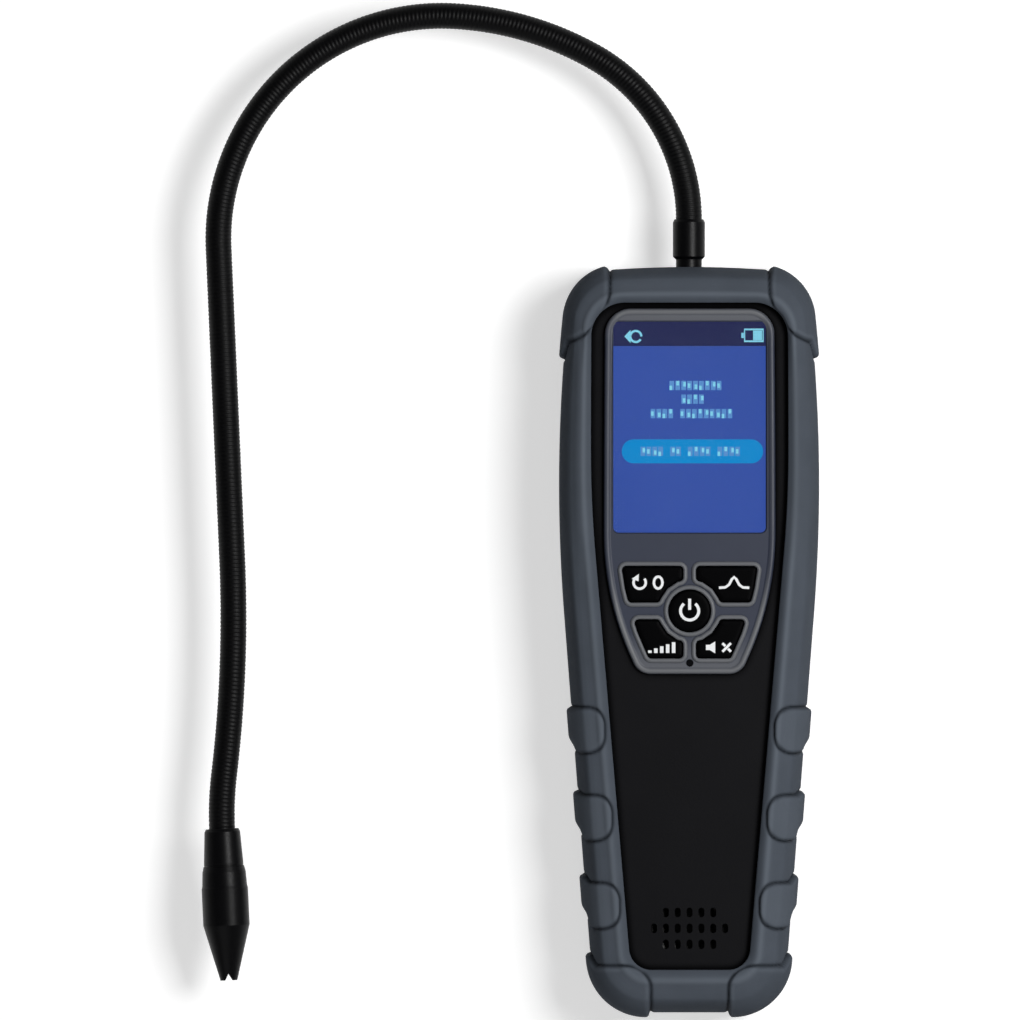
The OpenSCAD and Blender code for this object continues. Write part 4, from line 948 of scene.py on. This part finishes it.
# Blocks: width, height and pitch. Dabs: width, height, and the steps across and up between their places
BLOCK_W, BLOCK_H, BLOCK_PITCH = 1.25, 2.5, 1.6
DAB_W, DAB_H, DAB_X, DAB_Y = 0.7, 1.2, 0.13, 0.32
for row, (x0, x1, y0, gaps) in enumerate(LINES):
    for i in range(int((x1 - x0) / BLOCK_PITCH)):
        if i in gaps:
            continue
        left = x0 + i * BLOCK_PITCH
        show("haze", bar(left, left + BLOCK_W, y0, y0 + BLOCK_H), 2)
        # One bright dab in each block, at one of five places, so that the row looks out of focus
        dab = (2 * i + 3 * row) % 5
        dab_x, dab_y = left + DAB_X * dab, y0 + DAB_Y * ((dab * 2) % 5)
        show("dabs", bar(dab_x, dab_x + DAB_W, dab_y, dab_y + DAB_H), 3)
PAGE_TONES = (bar_navy, banner_blue, sign_cyan, haze_blue, sign_cyan)
for name, finish in zip(page, PAGE_TONES):
    page[name].build("picture_" + name, "detector", finish, "display")

# %% [markdown]
# ## Window
# The window is a flat sheet of clear acrylic, whose shape the solids already give. It could be left off, as
# it hardly shows, but it mirrors a little and carries the faint smears of fingers. It is drawn as smooth
# glass with acrylic's index, and the smears change its roughness.

# %% Window
# Window: cast acrylic, polished, clear, with smears about 12 mm wide.
SMEAR, SMEAR_FROM, SMEAR_TO, CLEAN_ROUGH, SMEAR_ROUGH = 12.0, 0.4, 0.8, 0.02, 0.09
clear_acrylic, tree, shader, place = new_finish("clear_acrylic_polished")
smear = add(tree, "ShaderNodeTexNoise", {"Vector": place, "Scale": per_mm(SMEAR), "Detail": 4.0})
haze = add(tree, "ShaderNodeMapRange", {"Value": smear.outputs["Fac"], "From Min": SMEAR_FROM,
                                        "From Max": SMEAR_TO, "To Min": CLEAN_ROUGH, "To Max": SMEAR_ROUGH})
feed(tree, shader, {"Base Color": linear("#f4f8fc"), "Roughness": haze.outputs[0], "IOR": 1.49,
                    "Transmission Weight": 1.0})

# %% [markdown]
# ## Case plastic
# The case halves and the door are black ABS, whose solids are right as they are. Where the case goes under
# the boot and beside the faceplate, and in the sounder's slots, its colour is darkened as painted shade and
# dust makes it rougher. The share of open sky over each point finds those places by itself, so nothing has
# to be masked by hand.

# %% Case plastic
# Case and door: black ABS from an etched mould, dull with a broad soft sheen.
case_abs = moulded("black_abs_etched", "#0a0a0d", "#101013", 0.35, 0.02, (0.42, 0.56), 1.53, level=0.07)
# In a seam the tone goes down as painted shade, and the roughness goes up. In order: how far round a point the
# sky is measured, in mm, the shares of sky in a full seam and on an open face, and the roughness of dust
SEAM_W, SEAM_FULL, SEAM_CLEAR, DUST_ROUGH = 2.2, 0.62, 0.98, 0.95
tree, shader, etched = plain_finish(case_abs)
etched_rough = shader.inputs["Roughness"].links[0].from_socket
sky_share = add(tree, "ShaderNodeAmbientOcclusion", {"Distance": SEAM_W * MM}, samples=8)
open_air = add(tree, "ShaderNodeMapRange", {"Value": sky_share.outputs["AO"], "From Min": SEAM_FULL,
                                            "From Max": SEAM_CLEAR})
# Painted shade: the colour goes nearly black where little open sky is over a point.
seam_painted_shade = add(tree, "ShaderNodeMix", {"Factor": open_air.outputs[0], 6: linear("#020203"), 7: etched},
                data_type="RGBA")
seam_rough = add(tree, "ShaderNodeMapRange", {"Value": open_air.outputs[0], "To Min": DUST_ROUGH,
                                              "To Max": etched_rough})
feed(tree, shader, {"Base Color": seam_painted_shade.outputs[2], "Roughness": seam_rough.outputs[0]})
print("case", case_abs.name)

# %% [markdown]
# ## Metals
# What is behind the door and under the tip cover shows when they are open, so it gets its real finishes
# too: zinc on the screws, nickel on the contacts, and bare brass on the sensor's can. Drawing and turning
# leave fine lines on metal, so a noise that is stretched along them breaks up the shine.

# %% Metals
# Depth of the lines in mm
LINE_DEPTH = 0.004


def plated(name, dark, light, scratch, gloss, stretch):
    """Metal with fine lines along one direction: colours, line width in mm, and the range of roughness."""
    material, tree, shader, place = new_finish(name)
    drawn = add(tree, "ShaderNodeMapping", {"Vector": place, "Scale": stretch})
    lines = add(tree, "ShaderNodeTexNoise", {"Vector": drawn.outputs[0], "Scale": per_mm(scratch),
                                             "Detail": 3.0})
    tone = add(tree, "ShaderNodeMix", {"Factor": lines.outputs["Fac"], 6: linear(dark), 7: linear(light)},
               data_type="RGBA")
    rough = add(tree, "ShaderNodeMapRange", {"Value": lines.outputs["Fac"], "From Min": NOISE_LOW,
                                             "From Max": NOISE_HIGH, "To Min": gloss[0], "To Max": gloss[1]})
    bump = add(tree, "ShaderNodeBump", {"Height": lines.outputs["Fac"], "Strength": 1.0,
                                        "Distance": LINE_DEPTH * MM})
    feed(tree, shader, {"Base Color": tone.outputs[2], "Roughness": rough.outputs[0],
                        "Normal": bump.outputs[0], "Metallic": 1.0})
    return material


# Screws: steel, zinc plated and blue passivated. Contacts: spring steel, nickel plated.
zinc_steel = plated("zinc_plated_steel", "#8f959c", "#b6bac0", 0.25, (0.3, 0.45), (1, 1, 0.2))
nickel_steel = plated("nickel_plated_steel", "#b9b6ae", "#d6d3cb", 0.3, (0.22, 0.34), (1, 0.15, 1))
# Sensor can: brass, turned, with fine rings.
turned_brass = plated("turned_brass", "#9c7d3f", "#c2a461", 0.2, (0.25, 0.38), (0.3, 1.0, 0.3))
print("metals", zinc_steel.name, nickel_steel.name, turned_brass.name)

# %% [markdown]
# ## Tip and parts inside
# The tip and its sleeves are smooth nylon, the cells have shrink film, the board has solder mask, and the
# rest is plastic, foam and felt. The moulded finish serves for all of them with other colours, grains and
# gloss. The table at the end says which node wears which finish. The solids of these nodes are right, so
# nothing replaces them.

# %% Tip and parts inside
# Tip, collar and ferrule: black nylon turned and moulded smooth, with a soft streak of light.
tip_nylon = moulded("black_nylon_smooth", "#050506", "#08080a", 0.5, 0.006, (0.32, 0.42), 1.53, level=0.1)
# Cells: PVC shrink film, glossy with faint wrinkles. Board: green solder mask.
cell_wrap = moulded("blue_shrink_film", "#1d4a86", "#2559a0", 2.2, 0.02, (0.18, 0.3), 1.53, 25.0)
solder_mask = moulded("green_solder_mask", "#123a24", "#1b5232", 1.2, 0.02, (0.28, 0.4), 1.52, 3.0)
# Backlight frame: white polycarbonate. Plug: ivory nylon. Switches and sounder: black nylon.
frame_white = moulded("white_polycarbonate", "#cdd0d2", "#dddfe0", 0.4, 0.01, (0.3, 0.42), 1.58)
plug_ivory = moulded("ivory_nylon", "#cfc7ab", "#ddd6bd", 0.4, 0.01, (0.35, 0.5), 1.53)
switch_black = moulded("black_nylon_switch", "#101012", "#18181a", 0.3, 0.01, (0.35, 0.5), 1.53)
# Ring round the sounder: polyurethane foam with open pores. Tip filter: wool felt.
foam_black = moulded("black_polyurethane_foam", "#0b0b0c", "#141416", 0.7, 0.25, (0.85, 0.95), 1.45, 2.0, 0.2)
wool_felt = moulded("white_wool_felt", "#b9b5aa", "#d2cec3", 0.5, 0.2, (0.9, 1.0), 1.45, 3.0)
# Status light: smoked epoxy lens, dark while it is off.
smoked_lens = moulded("smoked_epoxy_lens", "#050608", "#090a0d", 0.8, 0.004, (0.12, 0.2), 1.54, level=0.2)

DRESS = {
    case_abs: ("front_case", "rear_case", "battery_door"),
    tip_nylon: ("neck_bushing", "neck_ferrule", "tip_collar", "tip_cover"),
    zinc_steel: ("case_screws", "board_screws"),
    nickel_steel: ("battery_springs", "battery_plates"),
    turned_brass: ("sensor",),
    cell_wrap: ("battery_cells",),
    solder_mask: ("main_board",),
    frame_white: ("lcd_backlight",),
    page_blue: ("lcd_panel",),
    clear_acrylic: ("display_window",),
    plug_ivory: ("probe_plug",),
    switch_black: ("tact_switches", "speaker"),
    foam_black: ("speaker_ring",),
    wool_felt: ("sensor_filter",),
    neck_vinyl: ("probe_lead",),
    smoked_lens: ("status_led",),
}
for finish, names in DRESS.items():
    for name in names:
        nodes[name].data.materials.clear()
        nodes[name].data.materials.append(finish)
print("dressed", sum(len(names) for names in DRESS.values()), "nodes")

# %% [markdown]
# ## Floor
# A pale floor under the part, white to the camera. Its colour comes half from the light it takes, so that
# it keeps the part's soft shadow, and mirrors and windows see the same white. Light that it throws back at
# the part meets a darker grey instead, so that the boot's sides don't glow.

# %% Floor
# Half the floor's side and its height in metres, and the strength of its own light
FLOOR_HALF, FLOOR_Z, FLOOR_GLOW = 3.0, -0.02 * MM, 0.55
floor_mesh = bpy.data.meshes.new("floor")
floor_edge = bar(-FLOOR_HALF, FLOOR_HALF, -FLOOR_HALF, FLOOR_HALF)
floor_mesh.from_pydata(at_height(floor_edge, FLOOR_Z), [], [(0, 1, 2, 3)])
floor = bpy.data.objects.new("floor", floor_mesh)
bpy.context.collection.objects.link(floor)
# Floor: matt white paper, as a studio rolls it out.
paper = bpy.data.materials.new("white_paper_floor")
paper.use_nodes = True
tree = paper.node_tree
tree.nodes.clear()
path = add(tree, "ShaderNodeLightPath")
seen = add(tree, "ShaderNodeMath", {0: path.outputs["Is Camera Ray"], 1: path.outputs["Is Glossy Ray"]},
           operation="MAXIMUM")
seen = add(tree, "ShaderNodeMath", {0: seen.outputs[0], 1: path.outputs["Is Transmission Ray"]},
           operation="MAXIMUM")
lit_part = add(tree, "ShaderNodeBsdfDiffuse", {"Color": linear("#d8d8d8")})
dim_part = add(tree, "ShaderNodeBsdfDiffuse", {"Color": linear("#7a7a7a")})
glow_part = add(tree, "ShaderNodeEmission", {"Color": linear("#ffffff"), "Strength": FLOOR_GLOW})
bright = add(tree, "ShaderNodeAddShader", {0: lit_part.outputs[0], 1: glow_part.outputs[0]})
plain = add(tree, "ShaderNodeMixShader", {0: seen.outputs[0], 1: dim_part.outputs[0], 2: bright.outputs[0]})
add(tree, "ShaderNodeOutputMaterial", {"Surface": plain.outputs[0]})
floor_mesh.materials.append(paper)
print("floor", 2 * FLOOR_HALF, "m wide")
